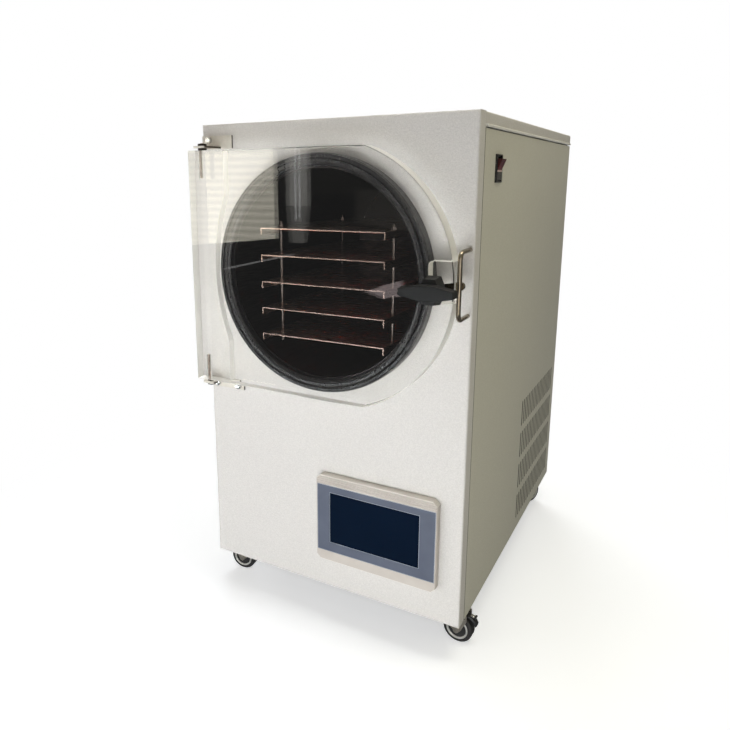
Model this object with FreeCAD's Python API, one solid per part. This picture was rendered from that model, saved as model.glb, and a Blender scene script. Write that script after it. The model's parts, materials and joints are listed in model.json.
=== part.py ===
import FreeCAD, Part
import math
import os

# Floor-standing laboratory freeze dryer. Millimetres.
# Working axes: X from the cabinet's left side to its right, Y from its front face to its rear,
# Z up from the underside of the cabinet. One shift at the end puts the origin on the floor,
# in the middle of everything the machine covers.

V = FreeCAD.Vector
AXIS_X = V(1, 0, 0)
AXIS_Y = V(0, 1, 0)
AXIS_Z = V(0, 0, 1)
SPILL = 1.0                     # how far a cutting tool runs past the face it opens

# ---- cabinet ----
WIDTH = 455.0
DEPTH = 630.0
HEIGHT = 750.0
SHEET = 1.5
BEND = 3.0                      # outside radius of a folded edge
FRONT_RETURN = 24.0             # how far the front panel folds back round the cabinet
SEAM = 0.5                      # open seam between two outer panels
SIDE_RETURN = 12.0
SKIRT = 19.5                    # height of the lid's folded-down skirt
LID_GROOVE = 1.8
FIT = 0.3                       # loose fit between sheets
BASE_SHEET = 2.0
BASE_FLANGE = 20.0
POST_LEG = 25.0
POST_SHEET = 2.5
DECK_FLANGE = 18.0
DECK_GAP = 28.5                 # below the insulation, bridged by the saddles

# ---- vacuum chamber ----
CHAMBER_DROP = 225.5            # centre of the chamber, below the top of the cabinet
FOAM_CLEAR = 6.4                # beside the insulation, to the corner posts
FOAM_THICKNESS = 32.7
CHAMBER_WALL = 3.0
CHAMBER_LENGTH = 430.0          # straight length behind the front panel
DISH_DEPTH = 40.0
FLANGE_RIM = 13.0               # of the flange, outside the shell
FLANGE_THICKNESS = 8.0
VAPOUR_BORE = 12.5
VAPOUR_WALL = 1.5
DRAIN_BORE = 5.5
DRAIN_WALL = 1.5
DRAIN_Y = 400.0
FOAM_START = 4.0
FOAM_BACK = 24.0
SADDLE_PLACES = (110.0, 350.0)
SADDLE_SHEET = 6.0
SADDLE_HALF = 150.0
SADDLE_HEIGHT = 92.0

# ---- gasket ----
GASKET_WALL = 5.0               # outside the flange
GASKET_STEP = 2.5               # its bore stands back from the chamber's bore
GASKET_FACE = 19.7              # front of the lips, ahead of the panel
GASKET_FIT = 0.3
LIP = 3.0
LIP_GROOVE = 2.4

# ---- door ----
DOOR_BACK = 20.0                # the door's rear face, ahead of the panel
DOOR_THICKNESS = 25.0
DOOR_LEFT = 6.0
DOOR_MARGIN = 7.0               # above and below the gasket
DOOR_ROUND = 18.0               # radius of the rounded side, beyond the gasket's
DOOR_SHIFT = 20.5               # centre of the rounded side, right of the chamber's
DOOR_EDGE = 1.0                 # polished chamfer
SPACER_THICKNESS = 11.0
SPACER_BEVEL = 7.0              # takes the swinging corner clear of the gasket
SPACER_WIDTH = 58.0
SPACER_SCALLOP = 116.0          # half the height of the hollow beside the gasket
SPACER_HOLLOW = 22.0

# ---- hinge ----
PIN_X = 26.0
PIN_AHEAD = 32.5                # pin axis ahead of the panel
PIN_RADIUS = 4.0
PIN_END = 1.0                   # length of pin past its outer nut
PIN_CHAMFER = 0.5
PIN_DEPTH = 42.0                # length of pin inside the door
RUNNING = 0.05                  # radial play of a pin or spindle in its bore
BRACKET_LEFT = 2.0
BRACKET_WIDTH = 58.5            # of the upper bracket
LOW_BRACKET_WIDTH = 68.0
BRACKET_SHEET = 3.0
BRACKET_HEIGHT = 20.0
TAB_HALF = 13.0
TAB_BEYOND = 11.0               # past the pin's axis
TAB_CORNER = 8.0
THIN_NUT = 3.5
THIN_NUT_FLATS = 13.0
THRUST_GAP = 0.3
BRACKET_SCREW = 14.0            # from the bracket's left edge
SECOND_SCREW = 58.0             # the lower bracket's other screw
SCREW_EDGE = 6.6                # from the bracket's free edge
SCREW_HEAD = 5.2                # radius
SCREW_HEAD_HEIGHT = 5.0
SCREW_CROWN = 1.2               # rounding round the head's face
SCREW_SHANK = 2.5
SCREW_LENGTH = 8.0

# ---- latch ----
LATCH_GAP = 12.0                # spindle, right of the gasket
LATCH_DROP = 3.5                # below the middle of the door
SPINDLE_RADIUS = 5.0
TONGUE_ANGLE = 10.0             # degrees above level when the door is shut
TONGUE_LENGTH = 38.0
TONGUE_HALF = 5.8
TONGUE_THICKNESS = 5.0
POCKET_LEFT = 11.0              # room in the door behind the spindle, left of it
POCKET_BELOW = 18.0
POCKET_ABOVE = 37.5
POCKET_FLOOR = 7.5              # door left in front of the pocket
POCKET_CORNER = 6.0
SPINDLE_TAIL = 6.0
SPINDLE_SHOULDER = 1.0
HUB_FLAT = 9.0                  # half the width of the hub's top and bottom flats
HUB_HALF_HEIGHT = 19.0
HUB_HALF_WIDTH = 17.5
HUB_LENGTH = 19.0
HUB_TAPER = 0.88                # of the hub's outline, where the wing meets it
HUB_CAP = 4.0
WING_HALF = 37.6
WING_FLAT = 10.5
WING_MIDDLE = 10.2
WING_TIP = 4.8
WING_DEPTH = 16.0
WING_ROUND = 1.8
KNOB_GAP = 0.3
KEEPER_GAP = 32.0               # bar, right of the spindle
KEEPER_RADIUS = 3.2
KEEPER_REACH = 40.0
KEEPER_BELOW = 40.0             # feet, below and above the spindle
KEEPER_ABOVE = 50.0
KEEPER_BEND = 10.0
KEEPER_SCREW_HEAD = 3.4
KEEPER_SCREW_THREAD = 2.0
KEEPER_SCREW_LENGTH = 10.0      # depth of the tapped hole
KEEPER_SCREW_GAP = 1.0          # left at the bottom of that hole

# ---- shelf rack ----
SHELF_COUNT = 5
SHELF_DROP = 99.0               # top of the lowest shelf, below the chamber's centre
SHELF_PITCH = 41.5
SHELF_CLEAR = 4.0               # between the lowest shelf's corners and the chamber
SHELF_FRONT = -8.0              # ahead of the front panel, inside the gasket
SHELF_LENGTH = 300.0
SHELF_SHEET = 1.5
SHELF_LIP = 11.0
MAT_SHEET = 1.6
MAT_BORDER = 14.0
ROD_RADIUS = 2.5
ROD_INSET = 7.0                 # from the shelf's side edge
ROD_SETBACK = 47.0
ROD_END = 7.5                   # length of rod above the top shelf
ROD_FIT = 0.2
NUT_FLATS = 8.0
NUT_HEIGHT = 3.2

# ---- touch panel ----
PANEL_MARGIN = 35.0             # to the cabinet's right edge
PANEL_WIDTH = 205.0
PANEL_BOTTOM = 55.0
PANEL_HEIGHT = 148.0
PANEL_PROUD = 12.0
PANEL_CORNER = 7.0
PANEL_BEVEL = 1.2
OVERLAY_BOTTOM = 17.0
OVERLAY_TOP = 15.5
OVERLAY_SIDE = 2.0
OVERLAY_SHEET = 1.0
SCREEN_WIDTH = 154.0
SCREEN_HEIGHT = 88.0
SCREEN_LEFT = 24.0
SCREEN_RISE = 33.0
SCREEN_GLASS = 2.0
SCREEN_SUNK = 0.5
BAR_GROOVES = 3
BAR_GROOVE = 0.8
BAR_GROOVE_PITCH = 3.6
PANEL_BOX_INSET = 7.0
PANEL_BOX_DEPTH = 38.0

# ---- rocker switch ----
SWITCH_Y = 92.0
SWITCH_DROP = 72.5              # below the top of the cabinet
SWITCH_WIDTH = 30.0
SWITCH_HEIGHT = 39.0
SWITCH_RIM = 2.5
SWITCH_PROUD = 2.5
SWITCH_BEVEL = 1.0
SWITCH_BODY = 26.0
SWITCH_WALL = 1.2
SWITCH_HOLE_FIT = 0.4
ROCKER_TILT = 12.5
ROCKER_PIVOT_DEPTH = 2.0
ROCKER_VALLEY = 5.0             # front face from the pivot, at the middle
ROCKER_CREST = 7.8              # front face from the pivot, at the ends
ROCKER_HALF = 15.0
ROCKER_WAIST = 14.0             # half height level with the pivot
ROCKER_KEEL = 9.0
ROCKER_FIT = 0.3
ROCKER_PIN = 1.5

# ---- louvres ----
LOUVRE_ROWS = 4
LOUVRE_LOW = 22.0
LOUVRE_PITCH = 62.7
LOUVRE_HEIGHT = 49.0
LOUVRE_MARGIN = 294.0           # first slot, from the rear of the cabinet
LOUVRE_STEP = 13.6
LOUVRE_COUNT = 20
LOUVRE_SLOT = 5.5
REAR_SLOT_COUNT = 14
REAR_SLOT_START = 130.0

# ---- refrigeration and power ----
COMPRESSOR_X = 115.0
COMPRESSOR_Y = 330.0
COMPRESSOR_RADIUS = 60.0
COMPRESSOR_HEIGHT = 165.0
COMPRESSOR_CROWN = 27.0         # height of the domed top
COMPRESSOR_BASE = 42.0          # radius where the can meets its feet
COMPRESSOR_SHOULDER = 45.0
SHOULDER_DROP = 8.0
FOOT_SHEET = 3.0
FOOT_HALF_X = 70.0
FOOT_HALF_Y = 58.0
MOUNT_RADIUS = 9.0
MOUNT_HEIGHT = 12.0
CORE_MARGIN = 23.0              # to the cabinet's right side
CORE_THICKNESS = 40.0
CORE_GAP = 9.4                  # to the rear corner post
CORE_LENGTH = 245.0
CORE_CLEAR = 22.0               # under the deck's flange
CORE_FRAME = 12.0
CORE_RECESS = 4.0
FAN_SIDE = 172.0
FAN_DEPTH = 51.0
FAN_BORE = 80.0
FAN_SWEEP = 77.5
FAN_HUB = 31.0
FAN_HUB_LENGTH = 34.0
FAN_SEAT = 8.0
FAN_SHAFT = 4.0
FAN_GAP = 1.0
BLADE_COUNT = 5
BLADE_CHORD = 38.0
BLADE_SHEET = 2.4
BLADE_PITCH = 36.0
CONTROL_MARGIN = 35.0
CONTROL_WIDTH = 180.0
CONTROL_FRONT = 80.0
CONTROL_DEPTH = 150.0
CONTROL_HEIGHT = 170.0
INLET_X = 90.0
INLET_Z = 80.0
INLET_WIDTH = 50.0
INLET_HEIGHT = 28.0
INLET_PROUD = 2.5
INLET_BODY_WIDTH = 30.0
INLET_BODY_HEIGHT = 22.0
INLET_BODY_DEPTH = 26.0
INLET_WALL = 2.5
PRONG = 2.0

# ---- rear connections ----
PORT_END = 30.0                 # how far the vapour pipe stands out behind the rear panel
PORT_FLANGE = 20.0
PORT_FLANGE_RIM = 4.0
PORT_COLLAR = 28.0
PORT_COLLAR_SHEET = 3.0
DRAIN_BEND = 14.0
DRAIN_RISE = 14.0               # above the deck
DRAIN_END = 12.0
VALVE_RADIUS = 11.0
VALVE_FLATS = 25.0
VALVE_END = 7.0
VALVE_LENGTH = 34.0
VALVE_STEM = 3.5
VALVE_COLLAR = 7.0
VALVE_STEM_RISE = 17.0
STEM_END = 1.0                  # length of stem past the lever
LEVER_LENGTH = 46.0
LEVER_HALF = 6.0
LEVER_EYE = 7.0
LEVER_SHEET = 2.5

# ---- casters ----
CASTER_INSET_X = 38.0
CASTER_INSET_Y = 58.0
CASTER_HEIGHT = 60.0
PLATE_SIDE = 50.0
PLATE_SHEET = 2.5
PLATE_CORNER = 6.0
RACE_RADIUS = 16.0
RACE_HEIGHT = 4.6
RACE_GAP = 0.3
CROWN_SHEET = 3.0
WHEEL_RADIUS = 24.0
WHEEL_WIDTH = 18.0
WHEEL_ROUND = 2.0
RIM_RADIUS = 19.0
RIM_STEP = 1.2
RIM_LIP = 1.4
AXLE_RADIUS = 3.0
AXLE_HEAD = 5.0
AXLE_HEAD_HEIGHT = 1.6
TRAIL = 21.0
FORK_GAP = 1.5
FORK_SHEET = 2.0
FORK_BOSS = 7.0
PEDAL_PIN_S = 33.0
PEDAL_PIN_DROP = 12.5
PEDAL_PIN = 1.5
PEDAL_REACH = 54.0
CASTERS = {                     # corner: (left or right, front or rear, heading of the trail, brake)
    "front_left": (0, 0, 187.0, True),
    "front_right": (1, 0, 357.0, True),
    "rear_left": (0, 1, 118.0, False),
    "rear_right": (1, 1, 64.0, False),
}

# ---- places worked out from the sizes ----
CHAMBER_X = WIDTH / 2
CHAMBER_Z = HEIGHT - CHAMBER_DROP
SEAM_Y = FRONT_RETURN + SEAM
LID_EDGE = HEIGHT - SKIRT
SIDE_TOP = LID_EDGE - LID_GROOVE
REAR_FACE = DEPTH - SHEET
BASE_LEFT = SHEET + FIT
BASE_FRONT = SEAM_Y + SHEET + FIT
BASE_BACK = REAR_FACE - SHEET - FIT
POST_X = BASE_LEFT + BASE_SHEET + FIT
POST_FRONT = BASE_FRONT + BASE_SHEET + FIT
POST_BACK = BASE_BACK - BASE_SHEET - FIT
FOAM_RADIUS = CHAMBER_X - POST_X - POST_LEG - FOAM_CLEAR
CHAMBER_OUTSIDE = FOAM_RADIUS - FOAM_THICKNESS - FIT
CHAMBER_BORE = CHAMBER_OUTSIDE - CHAMBER_WALL
FLANGE_RADIUS = CHAMBER_OUTSIDE + FLANGE_RIM
DECK_HEIGHT = CHAMBER_Z - FOAM_RADIUS - DECK_GAP
GASKET_RADIUS = FLANGE_RADIUS + GASKET_WALL
GASKET_BORE = CHAMBER_BORE + GASKET_STEP
DOOR_HALF_HEIGHT = GASKET_RADIUS + DOOR_MARGIN
DOOR_ARC = GASKET_RADIUS + DOOR_ROUND
DOOR_ARC_X = CHAMBER_X + DOOR_SHIFT
DOOR_FRONT = DOOR_BACK + DOOR_THICKNESS
DOOR_TOP = CHAMBER_Z + DOOR_HALF_HEIGHT
DOOR_BOTTOM = CHAMBER_Z - DOOR_HALF_HEIGHT
TAB_UNDER = DOOR_TOP + THRUST_GAP + THIN_NUT
TAB_REACH = PIN_AHEAD + TAB_BEYOND
LATCH_X = CHAMBER_X + GASKET_RADIUS + LATCH_GAP
LATCH_Z = CHAMBER_Z - LATCH_DROP
KEEPER_X = LATCH_X + KEEPER_GAP
KEEPER_LOW = LATCH_Z - KEEPER_BELOW
KEEPER_HIGH = LATCH_Z + KEEPER_ABOVE
DISH_RADIUS = (CHAMBER_BORE ** 2 + DISH_DEPTH ** 2) / (2 * DISH_DEPTH)
DISH_CENTRE = CHAMBER_LENGTH + DISH_DEPTH - DISH_RADIUS
DISH_BACK = DISH_CENTRE + DISH_RADIUS + CHAMBER_WALL
CORE_RIGHT = WIDTH - CORE_MARGIN
CORE_LEFT = CORE_RIGHT - CORE_THICKNESS
CORE_FRONT = POST_BACK - POST_LEG - CORE_GAP - CORE_LENGTH
CORE_TOP = DECK_HEIGHT - DECK_FLANGE - CORE_CLEAR
FAN_Y = CORE_FRONT + CORE_LENGTH / 2
FAN_Z = (BASE_SHEET + CORE_TOP) / 2
LOUVRE_START = DEPTH - LOUVRE_MARGIN
CONTROL_LEFT = WIDTH - CONTROL_MARGIN - CONTROL_WIDTH
PANEL_LEFT = WIDTH - PANEL_MARGIN - PANEL_WIDTH
SWITCH_Z = HEIGHT - SWITCH_DROP
DRAIN_Z = DECK_HEIGHT + DRAIN_RISE
SHELF_TOP = CHAMBER_Z - SHELF_DROP
SHELF_HALF = math.sqrt((CHAMBER_BORE - SHELF_CLEAR) ** 2 - (SHELF_DROP + SHELF_LIP) ** 2)
ROD_SPREAD = SHELF_HALF - ROD_INSET
ROD_FRONT = SHELF_FRONT + ROD_SETBACK
ROD_REAR = SHELF_FRONT + SHELF_LENGTH - ROD_SETBACK
ROD_TOP = SHELF_TOP + (SHELF_COUNT - 1) * SHELF_PITCH + ROD_END
PEDAL_PIN_Z = -PEDAL_PIN_DROP


# ---- small tools ----
def block(x0, x1, y0, y1, z0, z1):
    return Part.makeBox(x1 - x0, y1 - y0, z1 - z0, V(x0, y0, z0))


def rod(start, end, radius):
    return Part.makeCylinder(radius, (end - start).Length, start, end - start)


def fuse(shapes):
    whole = shapes[0].multiFuse(shapes[1:])
    return whole.removeSplitter()


def cut(shape, tools):
    return shape.cut(Part.makeCompound(tools))


def closed_face(points):
    return Part.Face(Part.makePolygon(points + [points[0]]))


def plate_xz(points, y0, y1):
    outline = closed_face([V(x, y0, z) for x, z in points])
    return outline.extrude(V(0, y1 - y0, 0))


def plate_yz(points, x0, x1):
    outline = closed_face([V(x0, y, z) for y, z in points])
    return outline.extrude(V(x1 - x0, 0, 0))


def plate_xy(points, z0, z1):
    outline = closed_face([V(x, y, z0) for x, y in points])
    return outline.extrude(V(0, 0, z1 - z0))


def edges_along(shape, direction):
    return [e for e in shape.Edges if e.tangentAt(e.FirstParameter).cross(direction).Length < 1e-6]


def edges_at(shape, coordinate, value):
    found = []
    for edge in shape.Edges:
        if all(abs(getattr(v.Point, coordinate) - value) < 1e-6 for v in edge.Vertexes):
            found.append(edge)
    return found


def turned(profile, centre, direction, across):
    """Revolve a closed outline of (radius, length) pairs about a line through centre."""
    points = [centre + across * r + direction * a for r, a in profile]
    return closed_face(points).revolve(centre, direction, 360)


def hexagon(centre, direction, across, flats, height):
    side = across.cross(direction)
    corner = flats / math.sqrt(3)
    turns = [math.radians(60 * k) for k in range(6)]
    points = [centre + across * corner * math.cos(t) + side * corner * math.sin(t) for t in turns]
    return closed_face(points).extrude(direction * height)


def bent_rod(points, radius, bend):
    """A round bar along straight runs joined by square bends of one radius."""
    pieces = []
    start = points[0]
    for before, corner, after in zip(points, points[1:], points[2:]):
        into = (corner - before).normalize()
        out = (after - corner).normalize()
        end = corner - into * bend
        pieces.append(rod(start, end, radius))
        section = Part.Face(Part.Wire(Part.makeCircle(radius, end, into)))
        pieces.append(section.revolve(end + out * bend, into.cross(out), 90))
        start = corner + out * bend
    pieces.append(rod(start, points[-1], radius))
    return fuse(pieces)


def nut(centre, direction, across, flats, height, bore):
    body = hexagon(centre, direction, across, flats, height)
    return body.cut(rod(centre - direction * SPILL, centre + direction * (height + SPILL), bore))


def mirrored(shape, coordinate_vector, place):
    return shape.mirror(coordinate_vector * place, coordinate_vector)


# ---- cabinet sheets ----
def front_panel():
    tray = block(0, WIDTH, 0, FRONT_RETURN, 0, HEIGHT)
    tray = tray.makeFillet(BEND, edges_at(tray, "y", 0))
    hollow = block(SHEET, WIDTH - SHEET, SHEET, FRONT_RETURN + SPILL, SHEET, HEIGHT - SHEET)
    hollow = hollow.makeFillet(BEND - SHEET, edges_at(hollow, "y", SHEET))
    holes = [rod(V(CHAMBER_X, -SPILL, CHAMBER_Z), V(CHAMBER_X, BEND, CHAMBER_Z), CHAMBER_OUTSIDE + FIT)]
    left = PANEL_LEFT + PANEL_BOX_INSET - FIT
    right = PANEL_LEFT + PANEL_WIDTH - PANEL_BOX_INSET + FIT
    low = PANEL_BOTTOM + PANEL_BOX_INSET - FIT
    high = PANEL_BOTTOM + PANEL_HEIGHT - PANEL_BOX_INSET + FIT
    holes.append(block(left, right, -SPILL, BEND, low, high))
    for z in (KEEPER_LOW, KEEPER_HIGH):
        holes.append(rod(V(KEEPER_X, -SPILL, z), V(KEEPER_X, BEND, z), KEEPER_SCREW_THREAD + RUNNING))
    return cut(tray, [hollow] + holes + hinge_screw_holes())


def side_sheet():
    back = REAR_FACE
    return plate_xy([
        (0, SEAM_Y), (SIDE_RETURN, SEAM_Y), (SIDE_RETURN, SEAM_Y + SHEET), (SHEET, SEAM_Y + SHEET),
        (SHEET, back - SHEET), (SIDE_RETURN, back - SHEET), (SIDE_RETURN, back), (0, back),
    ], 0, SIDE_TOP)


def left_side_panel():
    return side_sheet()


def right_side_panel():
    sheet = mirrored(side_sheet(), AXIS_X, CHAMBER_X)
    openings = []
    for row in range(LOUVRE_ROWS):
        low = LOUVRE_LOW + row * LOUVRE_PITCH
        for column in range(LOUVRE_COUNT):
            y = LOUVRE_START + column * LOUVRE_STEP
            openings.append(block(WIDTH - BEND, WIDTH + SPILL, y, y + LOUVRE_SLOT,
                                  low, low + LOUVRE_HEIGHT))
    half_y = SWITCH_WIDTH / 2 - SWITCH_RIM + SWITCH_HOLE_FIT
    half_z = SWITCH_HEIGHT / 2 - SWITCH_RIM + SWITCH_HOLE_FIT
    openings.append(block(WIDTH - BEND, WIDTH + SPILL, SWITCH_Y - half_y, SWITCH_Y + half_y,
                          SWITCH_Z - half_z, SWITCH_Z + half_z))
    return cut(sheet, openings)


def top_cover():
    lid = block(0, WIDTH, SEAM_Y, DEPTH, LID_EDGE, HEIGHT)
    upper = [e for e in edges_at(lid, "z", HEIGHT) if e.CenterOfMass.y > SEAM_Y + SPILL]
    lid = lid.makeFillet(BEND, upper)
    hollow = block(SHEET, WIDTH - SHEET, SEAM_Y - SPILL, DEPTH - SHEET, LID_EDGE - SPILL, HEIGHT - SHEET)
    return lid.cut(hollow)


def rear_panel():
    sheet = block(0, WIDTH, REAR_FACE, DEPTH, 0, SIDE_TOP)
    port = V(CHAMBER_X, REAR_FACE - SPILL, CHAMBER_Z)
    drain = V(CHAMBER_X, REAR_FACE - SPILL, DRAIN_Z)
    through = AXIS_Y * (SHEET + 2 * SPILL)
    openings = [rod(port, port + through, VAPOUR_BORE + VAPOUR_WALL + FIT)]
    openings.append(rod(drain, drain + through, DRAIN_BORE + DRAIN_WALL + FIT))
    half_x = INLET_BODY_WIDTH / 2 + FIT
    half_z = INLET_BODY_HEIGHT / 2 + FIT
    openings.append(centred_block(INLET_X, INLET_Z, half_x, half_z, REAR_FACE - SPILL, DEPTH + SPILL))
    for row in range(1, LOUVRE_ROWS):
        low = LOUVRE_LOW + row * LOUVRE_PITCH
        for column in range(REAR_SLOT_COUNT):
            x = REAR_SLOT_START + column * LOUVRE_STEP
            openings.append(block(x, x + LOUVRE_SLOT, REAR_FACE - SPILL, DEPTH + SPILL, low,
                                  low + LOUVRE_HEIGHT))
    return cut(sheet, openings)


def base_pan():
    tray = block(BASE_LEFT, WIDTH - BASE_LEFT, BASE_FRONT, BASE_BACK, 0, BASE_FLANGE)
    inside = BASE_LEFT + BASE_SHEET
    hollow = block(inside, WIDTH - inside, BASE_FRONT + BASE_SHEET, BASE_BACK - BASE_SHEET,
                   BASE_SHEET, BASE_FLANGE + SPILL)
    return tray.cut(hollow)


def corner_posts():
    leg = POST_LEG
    angle = plate_xy([
        (0, 0), (leg, 0), (leg, POST_SHEET), (POST_SHEET, POST_SHEET), (POST_SHEET, leg), (0, leg),
    ], BASE_SHEET, HEIGHT - SHEET)
    angle.translate(V(POST_X, POST_FRONT, 0))
    front = [angle, mirrored(angle, AXIS_X, CHAMBER_X)]
    middle = (POST_FRONT + POST_BACK) / 2
    return Part.makeCompound(front + [mirrored(post, AXIS_Y, middle) for post in front])


def chamber_deck():
    left = POST_X + POST_SHEET + FIT
    front = POST_FRONT + POST_SHEET + FIT
    back = POST_BACK - POST_SHEET - FIT
    deck = block(left, WIDTH - left, front, back, DECK_HEIGHT - DECK_FLANGE, DECK_HEIGHT)
    inside = left + BASE_SHEET
    hollow = block(inside, WIDTH - inside, front + BASE_SHEET, back - BASE_SHEET,
                   DECK_HEIGHT - DECK_FLANGE - SPILL, DECK_HEIGHT - BASE_SHEET)
    return deck.cut(hollow)


# ---- chamber ----
def chamber_shell():
    centre = V(CHAMBER_X, 0, CHAMBER_Z)

    def at(radius, length):
        return centre + AXIS_X * radius + AXIS_Y * length

    def dish(radius, sphere):
        return at(radius, DISH_CENTRE + math.sqrt(sphere ** 2 - radius ** 2))

    inner = DISH_RADIUS
    outer = DISH_RADIUS + CHAMBER_WALL
    half = CHAMBER_BORE / 2
    port_inside = dish(VAPOUR_BORE, inner)
    port_outside = dish(VAPOUR_BORE, outer)
    corners = [
        dish(CHAMBER_OUTSIDE, outer), at(CHAMBER_OUTSIDE, 0), at(FLANGE_RADIUS, 0),
        at(FLANGE_RADIUS, -FLANGE_THICKNESS), at(CHAMBER_BORE, -FLANGE_THICKNESS),
        dish(CHAMBER_BORE, inner),
    ]
    outline = [Part.LineSegment(port_inside, port_outside).toShape()]
    outline.append(Part.Arc(port_outside, dish(half, outer), corners[0]).toShape())
    outline += [Part.LineSegment(a, b).toShape() for a, b in zip(corners, corners[1:])]
    outline.append(Part.Arc(corners[-1], dish(half, inner), port_inside).toShape())
    shell = Part.Face(Part.Wire(outline)).revolve(centre, AXIS_Y, 360)
    low = V(CHAMBER_X, DRAIN_Y, CHAMBER_Z - CHAMBER_OUTSIDE - SPILL)
    return shell.cut(rod(low, low + AXIS_Z * (2 * CHAMBER_WALL + SPILL), DRAIN_BORE))


def chamber_insulation():
    back = DISH_BACK + FIT
    centre = V(CHAMBER_X, FOAM_START, CHAMBER_Z)
    jacket = rod(centre, V(CHAMBER_X, back + FOAM_BACK, CHAMBER_Z), FOAM_RADIUS)
    bore = rod(centre - AXIS_Y * SPILL, V(CHAMBER_X, back, CHAMBER_Z), CHAMBER_OUTSIDE + FIT)
    end = V(CHAMBER_X, back + FOAM_BACK + SPILL, CHAMBER_Z)
    pipe = rod(V(CHAMBER_X, back - SPILL, CHAMBER_Z), end, VAPOUR_BORE + VAPOUR_WALL + FIT)
    low = V(CHAMBER_X, DRAIN_Y, CHAMBER_Z - FOAM_RADIUS - SPILL)
    drain = rod(low, V(CHAMBER_X, DRAIN_Y, CHAMBER_Z), DRAIN_BORE + DRAIN_WALL + FIT)
    return cut(jacket, [bore, pipe, drain])


def chamber_saddles():
    saddles = []
    for y in SADDLE_PLACES:
        low = DECK_HEIGHT
        web = block(CHAMBER_X - SADDLE_HALF, CHAMBER_X + SADDLE_HALF, y, y + SADDLE_SHEET, low,
                    low + SADDLE_HEIGHT)
        start = V(CHAMBER_X, y - SPILL, CHAMBER_Z)
        seat = rod(start, start + AXIS_Y * (SADDLE_SHEET + 2 * SPILL), FOAM_RADIUS + FIT)
        saddles.append(web.cut(seat))
    return Part.makeCompound(saddles)


def door_gasket():
    face = -GASKET_FACE
    groove = face + LIP_GROOVE
    seat = -FLANGE_THICKNESS - GASKET_FIT
    rim = FLANGE_RADIUS + GASKET_FIT
    outer = GASKET_RADIUS
    profile = [
        (outer, 0), (outer, face + LIP), (outer - LIP / 2, face), (outer - 2 * LIP, face),
        (outer - 2 * LIP, groove), (outer - 3 * LIP, groove), (outer - 3 * LIP, face),
        (GASKET_BORE + LIP, face), (GASKET_BORE, face + LIP), (GASKET_BORE, seat), (rim, seat), (rim, 0),
    ]
    return turned(profile, V(CHAMBER_X, 0, CHAMBER_Z), AXIS_Y, AXIS_X)


# ---- door, hinge and latch ----
def door():
    front = -DOOR_FRONT
    chord = math.sqrt(DOOR_ARC ** 2 - DOOR_HALF_HEIGHT ** 2)
    corner = V(DOOR_ARC_X + chord, front, DOOR_TOP)
    low_corner = V(DOOR_ARC_X + chord, front, DOOR_BOTTOM)
    middle = V(DOOR_ARC_X + DOOR_ARC, front, CHAMBER_Z)
    left_top = V(DOOR_LEFT, front, DOOR_TOP)
    left_low = V(DOOR_LEFT, front, DOOR_BOTTOM)
    outline = Part.Wire([
        Part.LineSegment(left_low, left_top).toShape(), Part.LineSegment(left_top, corner).toShape(),
        Part.Arc(corner, middle, low_corner).toShape(), Part.LineSegment(low_corner, left_low).toShape(),
    ])
    plate = Part.Face(outline).extrude(V(0, DOOR_THICKNESS, 0))
    plate = plate.makeChamfer(DOOR_EDGE, edges_at(plate, "y", front) + edges_at(plate, "y", -DOOR_BACK))
    plate = fuse([plate, hinge_strip()])
    pocket = block(LATCH_X - POCKET_LEFT, WIDTH, front + POCKET_FLOOR, -DOOR_BACK + SPILL,
                   LATCH_Z - POCKET_BELOW, LATCH_Z + POCKET_ABOVE)
    inner_corners = [e for e in edges_along(pocket, AXIS_Y) if e.CenterOfMass.x < WIDTH - SPILL]
    pocket = pocket.makeFillet(POCKET_CORNER, inner_corners)
    spindle = rod(V(LATCH_X, front - SPILL, LATCH_Z), V(LATCH_X, -DOOR_BACK, LATCH_Z),
                  SPINDLE_RADIUS + RUNNING)
    bore = PIN_RADIUS + RUNNING
    depth = PIN_DEPTH + THRUST_GAP
    top = rod(V(PIN_X, -PIN_AHEAD, DOOR_TOP - depth), V(PIN_X, -PIN_AHEAD, DOOR_TOP + SPILL), bore)
    low = rod(V(PIN_X, -PIN_AHEAD, DOOR_BOTTOM - SPILL), V(PIN_X, -PIN_AHEAD, DOOR_BOTTOM + depth), bore)
    return cut(plate, [pocket, spindle, top, low])


def hinge_strip():
    """The strip bonded behind the door's hinge edge, hollowed beside the gasket."""
    right = DOOR_LEFT + SPACER_WIDTH
    back = -DOOR_BACK + SPACER_THICKNESS
    strip = block(DOOR_LEFT, right, -DOOR_BACK - SPILL, back, DOOR_BOTTOM, DOOR_TOP)
    swing_corner = [e for e in edges_along(strip, AXIS_Z)
                    if e.CenterOfMass.x < DOOR_LEFT + SPILL and e.CenterOfMass.y > back - SPILL]
    strip = strip.makeChamfer(SPACER_BEVEL, swing_corner)
    radius = (SPACER_SCALLOP ** 2 + SPACER_HOLLOW ** 2) / (2 * SPACER_HOLLOW)
    centre_x = right - SPACER_HOLLOW + radius
    scallop = rod(V(centre_x, -DOOR_BACK - SPILL, CHAMBER_Z), V(centre_x, back + SPILL, CHAMBER_Z), radius)
    return strip.cut(scallop)


def hinge_screw_places():
    high = TAB_UNDER + BRACKET_HEIGHT - SCREW_EDGE
    low = 2 * CHAMBER_Z - high
    left = BRACKET_LEFT + BRACKET_SCREW
    return [(left, high), (left, low), (BRACKET_LEFT + SECOND_SCREW, low)]


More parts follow.
